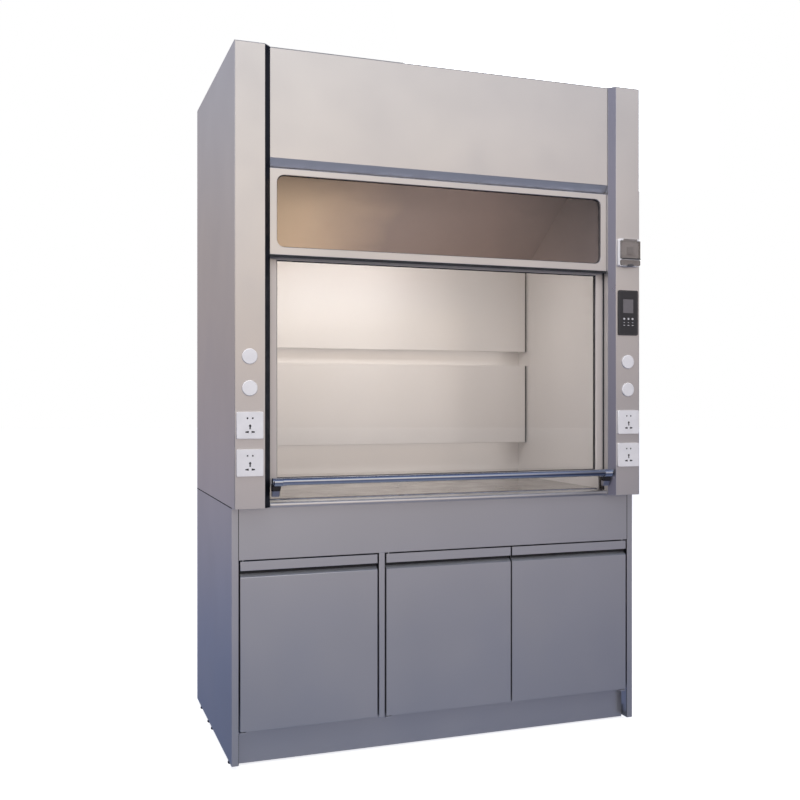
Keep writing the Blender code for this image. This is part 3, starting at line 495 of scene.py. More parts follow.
@dataclass(frozen=True)
class Display(Finish):
    """Unlit liquid-crystal screen: a fine cell grid behind a clear window."""

    def build(self, graph: Graph) -> None:
        """Wires the cell grid and the window's gloss.

        Args:
            graph: The material\'s nodes.
        """
        grid = graph.nodes.new("ShaderNodeTexChecker")
        grid.inputs["Scale"].default_value = 1400
        grid.inputs["Color1"].default_value = (*shade(self.colour, 0.92), 1)
        grid.inputs["Color2"].default_value = (*shade(self.colour, 1.06), 1)
        graph.links.new(graph.place, grid.inputs["Vector"])
        cloud = graph.span(graph.noise(40, 3), 0.0, 0.3)
        graph.feed(graph.mix(cloud, grid.outputs["Color"], shade(self.colour, 0.8)), "Base Color")
        graph.feed(graph.span(graph.noise(90, 3), 0.18, 0.26), "Roughness")
        graph.set(Coat_Weight=0.5, Coat_Roughness=0.08)


@dataclass(frozen=True)
class Diffuser(Finish):
    """Milky lamp cover that glows faintly from the tube behind it."""

    glow: float = 1.2

    def build(self, graph: Graph) -> None:
        """Wires the cover's milky tone and its glow.

        Args:
            graph: The material\'s nodes.
        """
        ribs = graph.noise(500, 1, (1, 0.02, 1))
        graph.feed(graph.mix(graph.span(ribs, 0, 1), shade(self.colour, 0.92), self.colour), "Base Color")
        graph.feed(graph.span(ribs, 0.3, 0.42), "Roughness")
        graph.set(Emission_Color=(*self.colour, 1.0), Emission_Strength=self.glow)
        graph.relief(ribs, 0.0003, 0.5)


CASE_COAT = PowderCoat("case_powder_coat", (0.70, 0.69, 0.685), metal=0.88)
# A darker, bluer copy of the case coat: painted shade for the cupboard under the work chamber.
SHADED_BASE_COAT = PowderCoat("base_powder_coat_painted_shade", (0.61, 0.625, 0.65), metal=0.85)
LINING = LiningBoard("lining_board", (0.74, 0.715, 0.70))
BENCH = Worktop("worktop_skin", (0.13, 0.115, 0.105))
SASH_COAT = PowderCoat("satin_sash_coat", (0.66, 0.625, 0.60), metal=0.35)
TRACK_ALLOY = DrawnMetal("track_alloy", (0.42, 0.40, 0.39), metal=0.8)
ZINC = DrawnMetal("zinc_plate", (0.52, 0.53, 0.55))
# Slate coat: painted shade on the right post's chamfer, and a painted paler lower end on the tube
# brackets.
SLATE_PAINTED_LIGHT = PowderCoat("slate_painted_light", (0.37, 0.375, 0.44), metal=0.85, gloss=(0.26, 0.34))
# Near-black navy: a deeper painted shade on the left post's chamfer, a shaded copy of the slate coat.
NAVY_PAINTED_SHADE = PowderCoat("navy_painted_shade", (0.045, 0.050, 0.068), metal=0.85, gloss=(0.26, 0.34))
CHROME = Plating("handle_chrome", (0.50, 0.54, 0.62))
SASH_PANE = Pane("sash_pane", (0.93, 0.915, 0.89))
# The view pane's fade from warm amber to dim grey is painted light; the bronze tint itself is the film's
# own.
VIEW_PANE = FilmPane(
    "bronze_view_pane",
    (0.40, 0.31, 0.28),
    painted_light_stops=(
        (0.00, (0.90, 0.68, 0.46)),
        (0.12, (0.84, 0.63, 0.45)),
        (0.36, (0.40, 0.31, 0.28)),
        (0.62, (0.45, 0.34, 0.31)),
        (0.94, (0.27, 0.235, 0.245)),
    ),
)
SMOKE_PANE = Pane("smoky_lid", (0.30, 0.275, 0.26), haze=(0.05, 0.16), clear=0.85)
WHITE = Moulding("white_moulding", (0.90, 0.90, 0.91))
# Black moulding for the control panel; the same finish colours the painted shade in the socket holes and
# under the splash lid.
BLACK = Moulding("black_moulding_and_painted_shade", (0.030, 0.030, 0.034))
BLACK_GLOSS = Moulding("black_bracket", (0.012, 0.013, 0.018), gloss=(0.12, 0.22))
GREY = Moulding("grey_rim_line", (0.10, 0.10, 0.105))
KEY = Moulding("key_moulding", (0.66, 0.66, 0.68))
# Black rubber for seals and feet; the same finish colours the painted-shade strips at joints, gaps and
# recesses.
RUBBER_AND_SHADE = Rubber("black_rubber_and_painted_shade", (0.022, 0.022, 0.024))
GREY_SEAL = Rubber("grey_seal", (0.23, 0.25, 0.32))
SCREEN = Display("screen_cells", (0.155, 0.15, 0.165))
LAMP = Diffuser("lamp_diffuser", (0.90, 0.87, 0.82))


# ---------------------------------------------------------------- shaping
class Axis(Enum):
    """The row frame's axes, each with the turn that takes +Z onto it."""

    X = Matrix.Rotation(math.radians(90), 4, "Y")
    Y = Matrix.Rotation(math.radians(-90), 4, "X")
    Z = Matrix.Identity(4)


class Form:
    """A piece under construction in the row frame, shaped with bmesh operators."""

    # The least turn of an edge that is eased, and the most that counts as flat, in radians.
    SHARP = math.radians(28.0)
    FLAT = 0.01
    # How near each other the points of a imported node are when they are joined.
    JOIN = 2e-5

    def __init__(self) -> None:
        """Starts an empty form."""
        self.bm = bmesh.new()
        self.edge = self.bm.loops.layers.float.new("edge")

    def block(self, low: Triple, high: Triple) -> list[bmesh.types.BMVert]:
        """Adds a box between two corners.

        Args:
            low: One corner.
            high: The opposite corner.

        Returns:
            The box's corners.
        """
        first, second = Vector(low), Vector(high)
        size = Vector(abs(b - a) for a, b in zip(first, second))
        where = Matrix.LocRotScale((first + second) / 2, None, size)
        return bmesh.ops.create_cube(self.bm, size=1.0, matrix=where)["verts"]

    def drum(self, centre: Triple, radius: float, length: float, axis: Axis, sides: int) -> None:
        """Adds a closed drum.

        Args:
            centre: The middle of its axis.
            radius: Its radius.
            length: Its length along the axis.
            axis: The axis it runs along.
            sides: How many sides it has.
        """
        bmesh.ops.create_cone(
            self.bm,
            cap_ends=True,
            segments=sides,
            radius1=radius,
            radius2=radius,
            depth=length,
            matrix=Matrix.Translation(centre) @ axis.value,
        )

    def turned(self, profile: Iterable[Point], centre: Triple, axis: Axis, steps: int) -> None:
        """Spins a profile about an axis.

        Args:
            profile: Points of (radius, height along the axis), closed on the axis or on itself.
            centre: Where the axis passes at height 0.
            axis: The axis.
            steps: How many steps the spin has.
        """
        where = Matrix.Translation(centre) @ axis.value
        points = [self.bm.verts.new(where @ Vector((radius, 0, height))) for radius, height in profile]
        lines = [self.bm.edges.new(pair) for pair in zip(points, points[1:])]
        direction = (where.to_3x3() @ Vector((0, 0, 1))).normalized()
        bmesh.ops.spin(
            self.bm,
            geom=points + lines,
            cent=centre,
            axis=direction,
            angle=math.tau,
            steps=steps,
            use_merge=True,
        )
        bmesh.ops.remove_doubles(self.bm, verts=self.bm.verts, dist=1e-6)

    def panel(
        self, low: Triple, high: Triple, radius: float, rim: float = 0.0, corner: int = 5
    ) -> None:
        """Adds an upright plate that faces -Y, with rounded corners, or only its rim.

        Args:
            low: Its lowest corner.
            high: Its highest corner.
            radius: The radius of its four corners, or 0.
            rim: The width of the rim that stays, or 0 for a whole plate.
            corner: How many segments each rounded corner has.
        """
        size = Vector((high[0] - low[0], high[2] - low[2], 1.0))
        middle = Vector(((low[0] + high[0]) / 2, low[1], (low[2] + high[2]) / 2))
        where = Matrix.Translation(middle) @ Axis.Y.value @ Matrix.Diagonal((*size, 1.0))
        before = set(self.bm.verts)
        made = bmesh.ops.create_grid(self.bm, x_segments=1, y_segments=1, size=0.5, matrix=where)["verts"]
        if radius:
            bmesh.ops.bevel(
                self.bm,
                geom=made,
                offset=radius,
                segments=corner,
                profile=0.5,
                affect="VERTICES",
                material=-1,
            )
        faces = {face for point in set(self.bm.verts) - before for face in point.link_faces}
        if rim:
            ring = bmesh.ops.inset_region(
                self.bm, faces=list(faces), thickness=rim, use_boundary=True, use_even_offset=True
            )
            bmesh.ops.delete(self.bm, geom=list(faces), context="FACES_ONLY")
            faces = set(ring["faces"])
        grown = bmesh.ops.extrude_face_region(self.bm, geom=list(faces))["geom"]
        far = [item for item in grown if isinstance(item, bmesh.types.BMVert)]
        bmesh.ops.translate(self.bm, verts=far, vec=(0, high[1] - low[1], 0))

    def ease(self, width: float, segments: int = 2) -> None:
        """Rounds every sharp edge, and marks the faces that it adds.

        Args:
            width: How far the rounding reaches on each side.
            segments: How many faces go round.
        """
        for face in self.bm.faces:
            turns = [edge.calc_face_angle(0.0) for edge in face.edges]
            face.smooth = any(self.FLAT < turn < self.SHARP for turn in turns)
        sharp = [edge for edge in self.bm.edges if edge.calc_face_angle(0.0) >= self.SHARP]
        made = bmesh.ops.bevel(
            self.bm,
            geom=sharp,
            offset=width,
            segments=segments,
            profile=0.5,
            affect="EDGES",
            material=-1,
            clamp_overlap=True,
        )
        for face in made["faces"]:
            face.smooth = True
            for loop in face.loops:
                loop[self.edge] = 1.0

    def take(self, node: str) -> None:
        """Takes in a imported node's shape, with its loose triangles joined into flat faces.

        Args:
            node: The node's name.
        """
        self.bm.from_mesh(frame["nodes"][node].data)
        bmesh.ops.remove_doubles(self.bm, verts=self.bm.verts, dist=self.JOIN)
        bmesh.ops.dissolve_degenerate(self.bm, edges=self.bm.edges, dist=self.JOIN / 2)
        bmesh.ops.dissolve_limit(
            self.bm, angle_limit=math.radians(1.0), verts=self.bm.verts, edges=self.bm.edges
        )

    def piece(
        self, name: str, finish: Finish, body: str, slot: str, outward: bool = True
    ) -> bpy.types.Object:
        """Makes the form an object that rides on a body.

        Args:
            name: The piece's name.
            finish: Its finish.
            body: The body that it rides on, or nothing for a piece that rides on none.
            slot: The record's material slot; not used.
            outward: Whether the faces are first turned to point outwards.

        Returns:
            The finished object.
        """
        if outward:
            bmesh.ops.recalc_face_normals(self.bm, faces=self.bm.faces)
        mesh = bpy.data.meshes.new(name)
        self.bm.to_mesh(mesh)
        self.bm.free()
        mesh.materials.append(finish.material())
        obj = bpy.data.objects.new(name, mesh)
        bpy.context.scene.collection.objects.link(obj)
        if body:
            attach(obj, body)
        return obj


@dataclass
class Assembly:
    """What every sub-assembly shares: it dresses nodes and counts its pieces."""

    built: ClassVar[list[str]] = []

    def dress(self, finish: Finish, nodes: Iterable[str], ease: float = 0.0008) -> None:
        """Puts an eased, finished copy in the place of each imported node.

        Args:
            finish: The finish that they all get.
            nodes: The nodes' names.
            ease: How far each edge is rounded.
        """
        slots = {part["node"]: part["material_slot"] for part in frame["record"]["subparts"]}
        for node in nodes:
            form = Form()
            form.take(node)
            form.ease(ease)
            body = frame["nodes"][node]["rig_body"]
            piece = form.piece(f"{node}_skin", finish, body, slots[node], outward=False)
            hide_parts(node)
            self.report(piece)

    def add(
        self, form: Form, name: str, finish: Finish, slot: str, body: str = "cabinet"
    ) -> bpy.types.Object:
        """Makes a form a piece and reports it.

        Args:
            form: The finished form.
            name: The piece's name.
            finish: Its finish.
            slot: The record's material slot.
            body: The body that it rides on.

        Returns:
            The piece.
        """
        piece = form.piece(name, finish, body, slot)
        self.report(piece)
        return piece

    def report(self, piece: bpy.types.Object) -> None:
        """Logs a piece's name and size."""
        Assembly.built.append(piece.name)
        log.info("%s: %d faces", piece.name, len(piece.data.polygons))

    def button_heads(self, spots: Iterable[Triple], axis: Axis, radius: float) -> Form:
        """Builds a button-head screw at each spot.

        Args:
            spots: Where each head sits on its surface.
            axis: The axis that the screws run along, which their heads look along.
            radius: A head's radius.

        Returns:
            The form of all the heads.
        """
        form = Form()
        tall = radius * 0.55
        profile = (
            (0.0, tall * 0.35),
            (radius * 0.42, tall * 0.35),
            (radius * 0.46, tall),
            (radius * 0.80, tall * 0.72),
            (radius, tall * 0.15),
            (radius, -tall * 0.2),
            (0.0, -tall * 0.2),
        )
        for spot in spots:
            form.turned(profile, spot, axis, 16)
        return form

    def build(self) -> None:
        """Builds and dresses the sub-assembly."""
        raise NotImplementedError


HANDS = (("left", -1), ("right", 1))
THREE = ("left", "middle", "right")
# How far a fitting's edge runs into, or stops short of, the face it sits against.
SUNK = 0.0002


# ---------------------------------------------------------------- casing
@dataclass
class Casing(Assembly):
    """The steel casing: posts, skins, header, roof, rear panel and exhaust collar."""

    chamfer: float = 0.021
    # Height of the painted-shade band under the casing.
    shade_band: float = 0.0028
    screw: float = 0.0055
    screw_pitch: float = 0.34
    screw_inset: float = 0.018
    corner_inset: float = 0.03
    spigot: float = 0.125
    bead: float = 0.004
    bead_drops: Point = (0.006, 0.030)
    flange_screws: Point = (0.148, 0.004)
    flange: float = 0.002
    cover: Point = (0.52, 0.36)
    cover_drop: float = 0.42
    cover_corner: float = 0.018
    cover_thick: float = 0.0015
    cover_screw_inset: float = 0.022
    roof_margin: float = 0.06
    roof_row: float = 0.30

    def build(self) -> None:
        """Builds the casing's skins, the painted-shade sheets on the post chamfers and under the casing's
        lower edge, collar beads, screws and rear cover.
        """
        self.dress(CASE_COAT, [f"front_post_{hand}" for hand, _ in HANDS], 0.0012)
        self.dress(CASE_COAT, [f"side_panel_{hand}" for hand, _ in HANDS])
        self.dress(CASE_COAT, ["top_front_panel", "roof_panel", "rear_panel"], 0.0010)
        self.dress(CASE_COAT, ["exhaust_collar"], 0.0005)
        self.chamfer_shade_sheets()
        self.case_joint_shade()
        self.collar_beads()
        self.rear_fittings()
        self.roof_screws()

    def chamfer_shade_sheets(self) -> None:
        """Builds a sheet over the slanted inner edge of each post, coloured as painted shade: slate on
        the right post, near black on the left.
        """
        for hand, side in HANDS:
            low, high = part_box(f"front_post_{hand}")
            inner = min(abs(low.x), abs(high.x))
            form = Form()
            points = form.block(
                (side * (inner + SUNK), low.y - 0.0004, low.z + 0.001),
                (side * (inner + self.chamfer - 0.0004), low.y + 0.0006, high.z - 0.001),
            )
            back = [point for point in points if abs(point.co.x) < inner + 0.001]
            bmesh.ops.translate(form.bm, verts=back, vec=(0, self.chamfer - 0.0006, 0))
            form.ease(0.0003, 1)
            # Painted shade: the right chamfer gets the slate sheet, the left one the darker navy sheet.
            self.add(form, f"chamfer_shade_{hand}", SLATE_PAINTED_LIGHT if side > 0 else NAVY_PAINTED_SHADE, "coat_base")

    def case_joint_shade(self) -> None:
        """Builds a dark strip between the casing and the cupboard under it: painted shade in the joint.
        """
        form = Form()
        reach = abs(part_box("side_panel_left")[0].x)
        low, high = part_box("base_side_left")
        # Painted shade: a dark band along each side where the casing meets the cupboard.
        for _, side in HANDS:
            form.block(
                (side * (reach - 0.004), low.y + 0.001, high.z - self.shade_band),
                (side * (reach + 0.0004), high.y - 0.001, high.z + 0.0001),
            )
        self.add(form, "case_joint_shade", RUBBER_AND_SHADE, "rubber")

    def collar_beads(self) -> None:
        """Builds the rolled beads round the collar and the screws of its flange."""
        low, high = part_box("exhaust_collar")
        middle = (low + high) / 2
        form = Form()
        for drop in self.bead_drops:
            turns = [step * math.tau / 10 for step in range(11)]
            ring = [
                (self.spigot + self.bead * math.cos(turn), self.bead * math.sin(turn))
                for turn in turns
            ]
            form.turned(ring, (middle.x, middle.y, high.z - drop), Axis.Z, 64)
        self.add(form, "collar_beads", CASE_COAT, "coat_light")
        reach, radius = self.flange_screws
        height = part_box("roof_panel")[1].z + self.flange
        spots = [
            (middle.x + reach * math.cos(turn), middle.y + reach * math.sin(turn), height)
            for turn in (math.tau * step / 8 for step in range(8))
        ]
        heads = self.button_heads(spots, Axis.Z, radius)
        self.add(heads, "collar_screws", ZINC, "steel")

    def rear_fittings(self) -> None:
        """Builds the rear service cover and the screws round it and round the panel."""
        low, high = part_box("rear_panel")
        middle = (low + high) / 2
        wide, tall = self.cover
        z = high.z - self.cover_drop
        back = high.y
        cover = Form()
        cover.panel(
            (middle.x - wide / 2, back - SUNK, z - tall / 2),
            (middle.x + wide / 2, back + self.cover_thick, z + tall / 2),
            self.cover_corner,
        )
        cover.ease(0.0006)
        self.add(cover, "rear_service_cover", CASE_COAT, "coat_light")
        across = wide / 2 - self.cover_screw_inset
        up = tall / 2 - self.cover_screw_inset
        spots = [
            (middle.x + side * across, back + self.cover_thick, z + level * up)
            for side in (-1, 0, 1)
            for level in (-1, 1)
        ]
        rows = max(2, round((high.z - low.z) / self.screw_pitch))
        for row in range(rows + 1):
            run = high.z - low.z - 2 * self.corner_inset
            height = low.z + self.corner_inset + run * row / rows
            spots += [(side * (high.x - self.screw_inset), back, height) for side in (-1, 1)]
        self.add(self.button_heads(spots, Axis.Y, self.screw), "rear_screws", ZINC, "steel")

    def roof_screws(self) -> None:
        """Builds the screws in the roof: a row along its back and one across it."""
        low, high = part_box("roof_panel")
        run = high.x - low.x - 2 * self.roof_margin
        spots = [
            (low.x + self.roof_margin + run * step / 5, y, high.z)
            for step in range(6)
            for y in (low.y + self.roof_row, high.y - self.screw_inset)
        ]
        self.add(self.button_heads(spots, Axis.Z, self.screw), "roof_screws", ZINC, "steel")


# ---------------------------------------------------------------- chamber
@dataclass
class Chamber(Assembly):
    """The lined working chamber with its baffles, worktop, sill and lamp."""

    # Width of the painted-shade strip at each baffle end.
    seal: float = 0.0060
    lamp_inset: float = 0.012
    lamp_drop: float = 0.006

    def build(self) -> None:
        """Builds the chamber's skins, the painted-shade strips at the baffles' ends, the sill's joint and
        the lamp's cover.
        """
        self.dress(LINING, [f"liner_{place}" for place in ("left", "right", "rear", "ceiling")])
        self.dress(LINING, [f"baffle_{level}" for level in ("upper", "middle", "lower")], 0.0010)
        self.dress(BENCH, ["worktop"], 0.0015)
        self.dress(CASE_COAT, ["sill"], 0.0025)
        self.dress(WHITE, ["lamp"], 0.0015)
        self.baffle_end_shades()
        self.sill_joint()
        self.lamp_cover()

    def baffle_end_shades(self) -> None:
        """Builds a dark strip over each end of the two lower upright baffles: painted shade in the gap
        beside each end.
        """
        form = Form()
        for level in ("lower", "middle"):
            low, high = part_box(f"baffle_{level}")
            for _, side in HANDS:
                form.block(
                    (side * (high.x - self.seal), low.y - 0.0010, low.z),
                    (side * high.x, low.y + SUNK, high.z),
                )
        form.ease(0.0003, 1)
        self.add(form, "baffle_end_shades", RUBBER_AND_SHADE, "rubber")

    def sill_joint(self) -> None:
        """Builds the sealant that fills the joint between the worktop and the sill."""
        low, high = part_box("worktop")
        sill_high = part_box("sill")[1]
        form = Form()
        form.block(
            (low.x + 0.001, sill_high.y - 0.0030, sill_high.z - 0.0020),
            (high.x - 0.001, low.y + 0.0020, high.z - 0.0016),
        )
        form.ease(0.0010, 2)
        self.add(form, "sill_joint", GREY_SEAL, "rubber")

    def lamp_cover(self) -> None:
        """Builds the milky cover under the lamp's housing."""
        low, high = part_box("lamp")
        inset = self.lamp_inset
        form = Form()
        form.block(
            (low.x + inset, low.y + inset, low.z - self.lamp_drop),
            (high.x - inset, high.y - inset, low.z + 0.002),
        )
        form.ease(0.004, 3)
        self.add(form, "lamp_cover", LAMP, "white_plastic")


# ---------------------------------------------------------------- fixed window
@dataclass
class ViewWindow(Assembly):
    """The fixed window over the sash: its frame, pane, seal and strips."""

    seal: float = 0.0022
    aperture: tuple[float, float, float] = (0.605, 0.0258, 0.020)
    corner: float = 0.025
    # Height of the painted-shade strip under the frame.
    shade_band: float = 0.0080

    def build(self) -> None:
        """Builds the frame, the pane, the dark seal round it and the strips along the frame."""
        self.dress(CASE_COAT, ["view_panel_frame"], 0.0010)
        self.dress(VIEW_PANE, ["view_window_glass"], 0.0006)
        self.pane_seal()
        self.strips()

    def pane_seal(self) -> None:
        """Builds the seal round the pane, inside the frame's aperture."""
        low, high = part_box("view_panel_frame")
        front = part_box("view_window_glass")[0].y
        reach, bottom, top = self.aperture
        form = Form()
        form.panel(
            (-reach, front - 0.0026, low.z + bottom),
            (reach, front - 0.0004, high.z - top),
            self.corner,
            rim=self.seal,
        )
        self.add(form, "view_window_seal", RUBBER_AND_SHADE, "rubber")

    def strips(self) -> None:
        """Builds the closing strip over the frame and a dark strip under it: painted shade in the recess
        above the sash.
        """
        low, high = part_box("view_panel_frame")
        strip = Form()
        strip.block(
            (low.x + 0.001, low.y + 0.0004, high.z - SUNK),
            (high.x - 0.001, high.y, high.z + 0.0006),
        )
        self.add(strip, "view_window_strip", GREY_SEAL, "rubber")
        # Painted shade: a dark strip under the frame where the sash sits in shadow behind it.
        shade_band = Form()
        shade_band.block(
            (low.x + 0.001, low.y + 0.0012, low.z - self.shade_band),
            (high.x - 0.001, low.y + 0.0048, low.z - SUNK),
        )
        shade_band.ease(0.0010, 2)
        self.add(shade_band, "view_window_shade_line", RUBBER_AND_SHADE, "rubber")


# ---------------------------------------------------------------- sash
@dataclass
class Sash(Assembly):
    """The sliding glazed sash with its pull tube."""

    opening: float = 0.600
    rails: Point = (0.025, 0.036)
    seal: float = 0.0022
    travel_down: float = 0.048
    tube: float = 0.0125
    sleeve: float = 0.030
    cap: float = 0.0047
    bracket: Triple = (0.032, 0.024, 0.024)
    tip: float = 0.018
    set_back: float = 0.0215

    def build(self) -> None:
        """Builds the sash frame, its pane and seals, and the pull tube with its ends."""
        self.dress(SASH_COAT, ["sash_frame"], 0.0012)
        self.dress(SASH_PANE, ["sash_glass"], 0.0008)
        self.dress(CHROME, ["sash_handle"], 0.0005)
        self.seals()
        self.jamb_strips()
        self.tube_ends()
        for hand, side in HANDS:
            self.tube_bracket(hand, side)

    def seals(self) -> None:
        """Builds the black seals on both faces of the pane."""
        low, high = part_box("sash_glass")
        frame_low, frame_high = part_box("sash_frame")
        form = Form()
        for near, far in (
            (low.y - 0.0040, low.y - 0.0004),
            (high.y + 0.0004, high.y + 0.0035),
        ):
            form.panel(
                (-self.opening, near, frame_low.z + self.rails[0]),
                (self.opening, far, frame_high.z - self.rails[1]),
                0.0,
                rim=self.seal,
            )
        self.add(form, "sash_seals", RUBBER_AND_SHADE, "rubber", "sash")

    def jamb_strips(self) -> None:
        """Builds the strip down each post that the sash's front face runs behind."""
        low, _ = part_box("sash_frame")
        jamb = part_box("front_post_right")[0].x
        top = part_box("view_panel_frame")[0].z - 0.001
        form = Form()
        for _, side in HANDS:
            form.block(
                (side * (jamb - 0.0016), low.y - 0.0074, low.z - self.travel_down),
                (side * (jamb + 0.0001), low.y - 0.0004, top),
            )
        self.add(form, "jamb_strips", RUBBER_AND_SHADE, "rubber")

    def tube_ends(self) -> None:
        """Builds the sleeve and the domed plug at each end of the pull tube."""
        low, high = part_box("sash_handle")
        y, z = low.y + self.tube, low.z + self.tube
        fit, skin = self.tube + SUNK, self.tube + 0.0012
        sleeves, plugs = Form(), Form()
        for _, side in HANDS:
            end = (side * (high.x - self.cap + SUNK), y, z)
            sleeve = (
                (fit, 0.0),
                (skin, side * -0.0010),
                (skin, side * (0.001 - self.sleeve)),
                (fit, side * -self.sleeve),
                (fit, 0.0),
            )
            sleeves.turned(sleeve, end, Axis.X, 48)
            plug = (
                (0.0, side * self.cap),
                (self.tube * 0.45, side * (self.cap - 0.0001)),
                (self.tube * 0.90, side * (self.cap - 0.0008)),
                (self.tube + 0.0006, side * (self.cap - 0.0022)),
                (self.tube + 0.0006, 0.0),
                (0.0, 0.0),
            )
            plugs.turned(plug, end, Axis.X, 40)
        self.add(sleeves, "tube_sleeves", CHROME, "chrome", "sash")
        self.add(plugs, "tube_plugs", BLACK_GLOSS, "black_plastic", "sash")

    def tube_bracket(self, hand: str, side: int) -> None:
        """Builds the tapered bracket under one end of the tube, with a grey tip that is painted light:
        the paler lower end under the bracket's dark top.

        Args:
            hand: The end's name.
            side: -1 for the left end and 1 for the right one.
        """
        low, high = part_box("sash_handle")
        wide, tall, deep = self.bracket
        front = low.y + self.set_back
        outer = side * (high.x - 0.0015)
        inner = outer - side * wide
        top = low.z + 0.006
        form = Form()
        points = form.block((outer, front, top - tall), (inner, front + deep, top))
        halfway = abs(outer) - wide / 2
        foot = [p for p in points if p.co.z < top - tall / 2 and abs(p.co.x) < halfway]
        bmesh.ops.translate(form.bm, verts=foot, vec=(side * wide * 0.16, 0, 0))
        form.ease(0.0030, 3)
        self.add(form, f"tube_bracket_{hand}", BLACK_GLOSS, "black_plastic", "sash")
        # Painted light: the grey tip stands for the paler lower end of the bracket's dark-to-light
        # shading.
        tip = Form()
        points = tip.block(
            (outer - side * 0.001, front + 0.001, top - tall - self.tip),
            (inner + side * wide * 0.18, front + deep - 0.001, top - tall + 0.002),
        )
        under = [p for p in points if p.co.z < top - tall - self.tip / 2]
        nose = [p for p in under if p.co.y < front + 0.01]
        bmesh.ops.translate(tip.bm, verts=nose, vec=(0, 0.008, 0))
        tip.ease(0.0025, 3)
        self.add(tip, f"bracket_painted_light_tip_{hand}", SLATE_PAINTED_LIGHT, "black_plastic", "sash")


# ---------------------------------------------------------------- balance
@dataclass
class Balance(Assembly):
    """The counterbalance behind each post: track, pulley, cable and weight."""

    wire: float = 0.0015
    wire_sides: int = 10
    rings: int = 40
    crimp: tuple[Point, ...] = (
        (0.0, 0.001),
        (0.0052, 0.001),
        (0.0052, 0.006),
        (0.0034, 0.008),
        (0.0034, 0.026),
        (0.0, 0.028),
    )

    def build(self) -> None:
        """Builds the tracks, pulleys and weights, and strings the cables."""
        self.dress(TRACK_ALLOY, [f"sash_track_{hand}" for hand, _ in HANDS], 0.0005)
        self.dress(ZINC, [f"pulley_{hand}" for hand, _ in HANDS], 0.0005)
        self.dress(ZINC, [f"counterweight_{hand}" for hand, _ in HANDS], 0.0012)
        for hand, _ in HANDS:
            self.cable(hand)
            self.crimps(hand)

    def strand(self, start: Vector, end: Vector) -> Form:
        """Builds a straight length of wire with even rings along it.

        Args:
            start: The middle of its low end.
            end: The middle of its high end.

        Returns:
            The wire's form.
        """
        form = Form()
        form.drum((start + end) / 2, self.wire, (end - start).length, Axis.Z, self.wire_sides)
        upright = [
            edge
            for edge in form.bm.edges
            if abs(edge.verts[0].co.z - edge.verts[1].co.z) > self.wire
        ]
        bmesh.ops.subdivide_edges(form.bm, edges=upright, cuts=self.rings - 1)
        return form

    def cable(self, hand: str) -> None:
        """Strings one cable: its wrap round the pulley, its sash span and its weight span.

        Args:
            hand: The cable's side of the hood.
        """
        low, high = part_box(f"cable_{hand}")
        x = (low.x + high.x) / 2
        front, rear = low.y + self.wire, high.y - self.wire
        radius = (rear - front) / 2
        centre = high.z - radius - self.wire
        wrap = Form()
        start = bmesh.ops.create_circle(
            wrap.bm,
            cap_ends=True,
            radius=self.wire,
            segments=self.wire_sides,
            matrix=Matrix.Translation((x, front, centre)),
        )
        bmesh.ops.spin(
            wrap.bm,
            geom=start["verts"][0].link_faces[:],
            cent=(x, (front + rear) / 2, centre),
            axis=(-1, 0, 0),
            angle=math.pi,
            steps=24,
        )
        piece = self.add(wrap, f"cable_wrap_{hand}", ZINC, "steel")
        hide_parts(f"cable_{hand}")
        weight = f"counterweight_{hand}"
        spans = (
            ("sash", front, low.z, "sash"),
            ("weight", rear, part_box(weight)[1].z, weight),
        )
        for label, y, bottom, body in spans:
            form = self.strand(Vector((x, y, bottom + 0.0003)), Vector((x, y, centre)))
            piece = self.add(form, f"cable_{label}_span_{hand}", ZINC, "steel", "")
            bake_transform(piece)

    def crimps(self, hand: str) -> None:
        """Builds the crimp at the sash's end and the weight's end of one cable.

        Args:
            hand: The cable's side of the hood.
        """
        low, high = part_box(f"cable_{hand}")
        x = (low.x + high.x) / 2
        weight = f"counterweight_{hand}"
        for label, y, z, body in (
            ("sash", low.y + self.wire, low.z, "sash"),
            ("weight", high.y - self.wire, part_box(weight)[1].z, weight),
        ):
            form = Form()
            form.turned(self.crimp, (x, y, z), Axis.Z, 24)
            form.ease(0.0004, 1)
            self.add(form, f"cable_crimp_{label}_{hand}", ZINC, "steel", body)


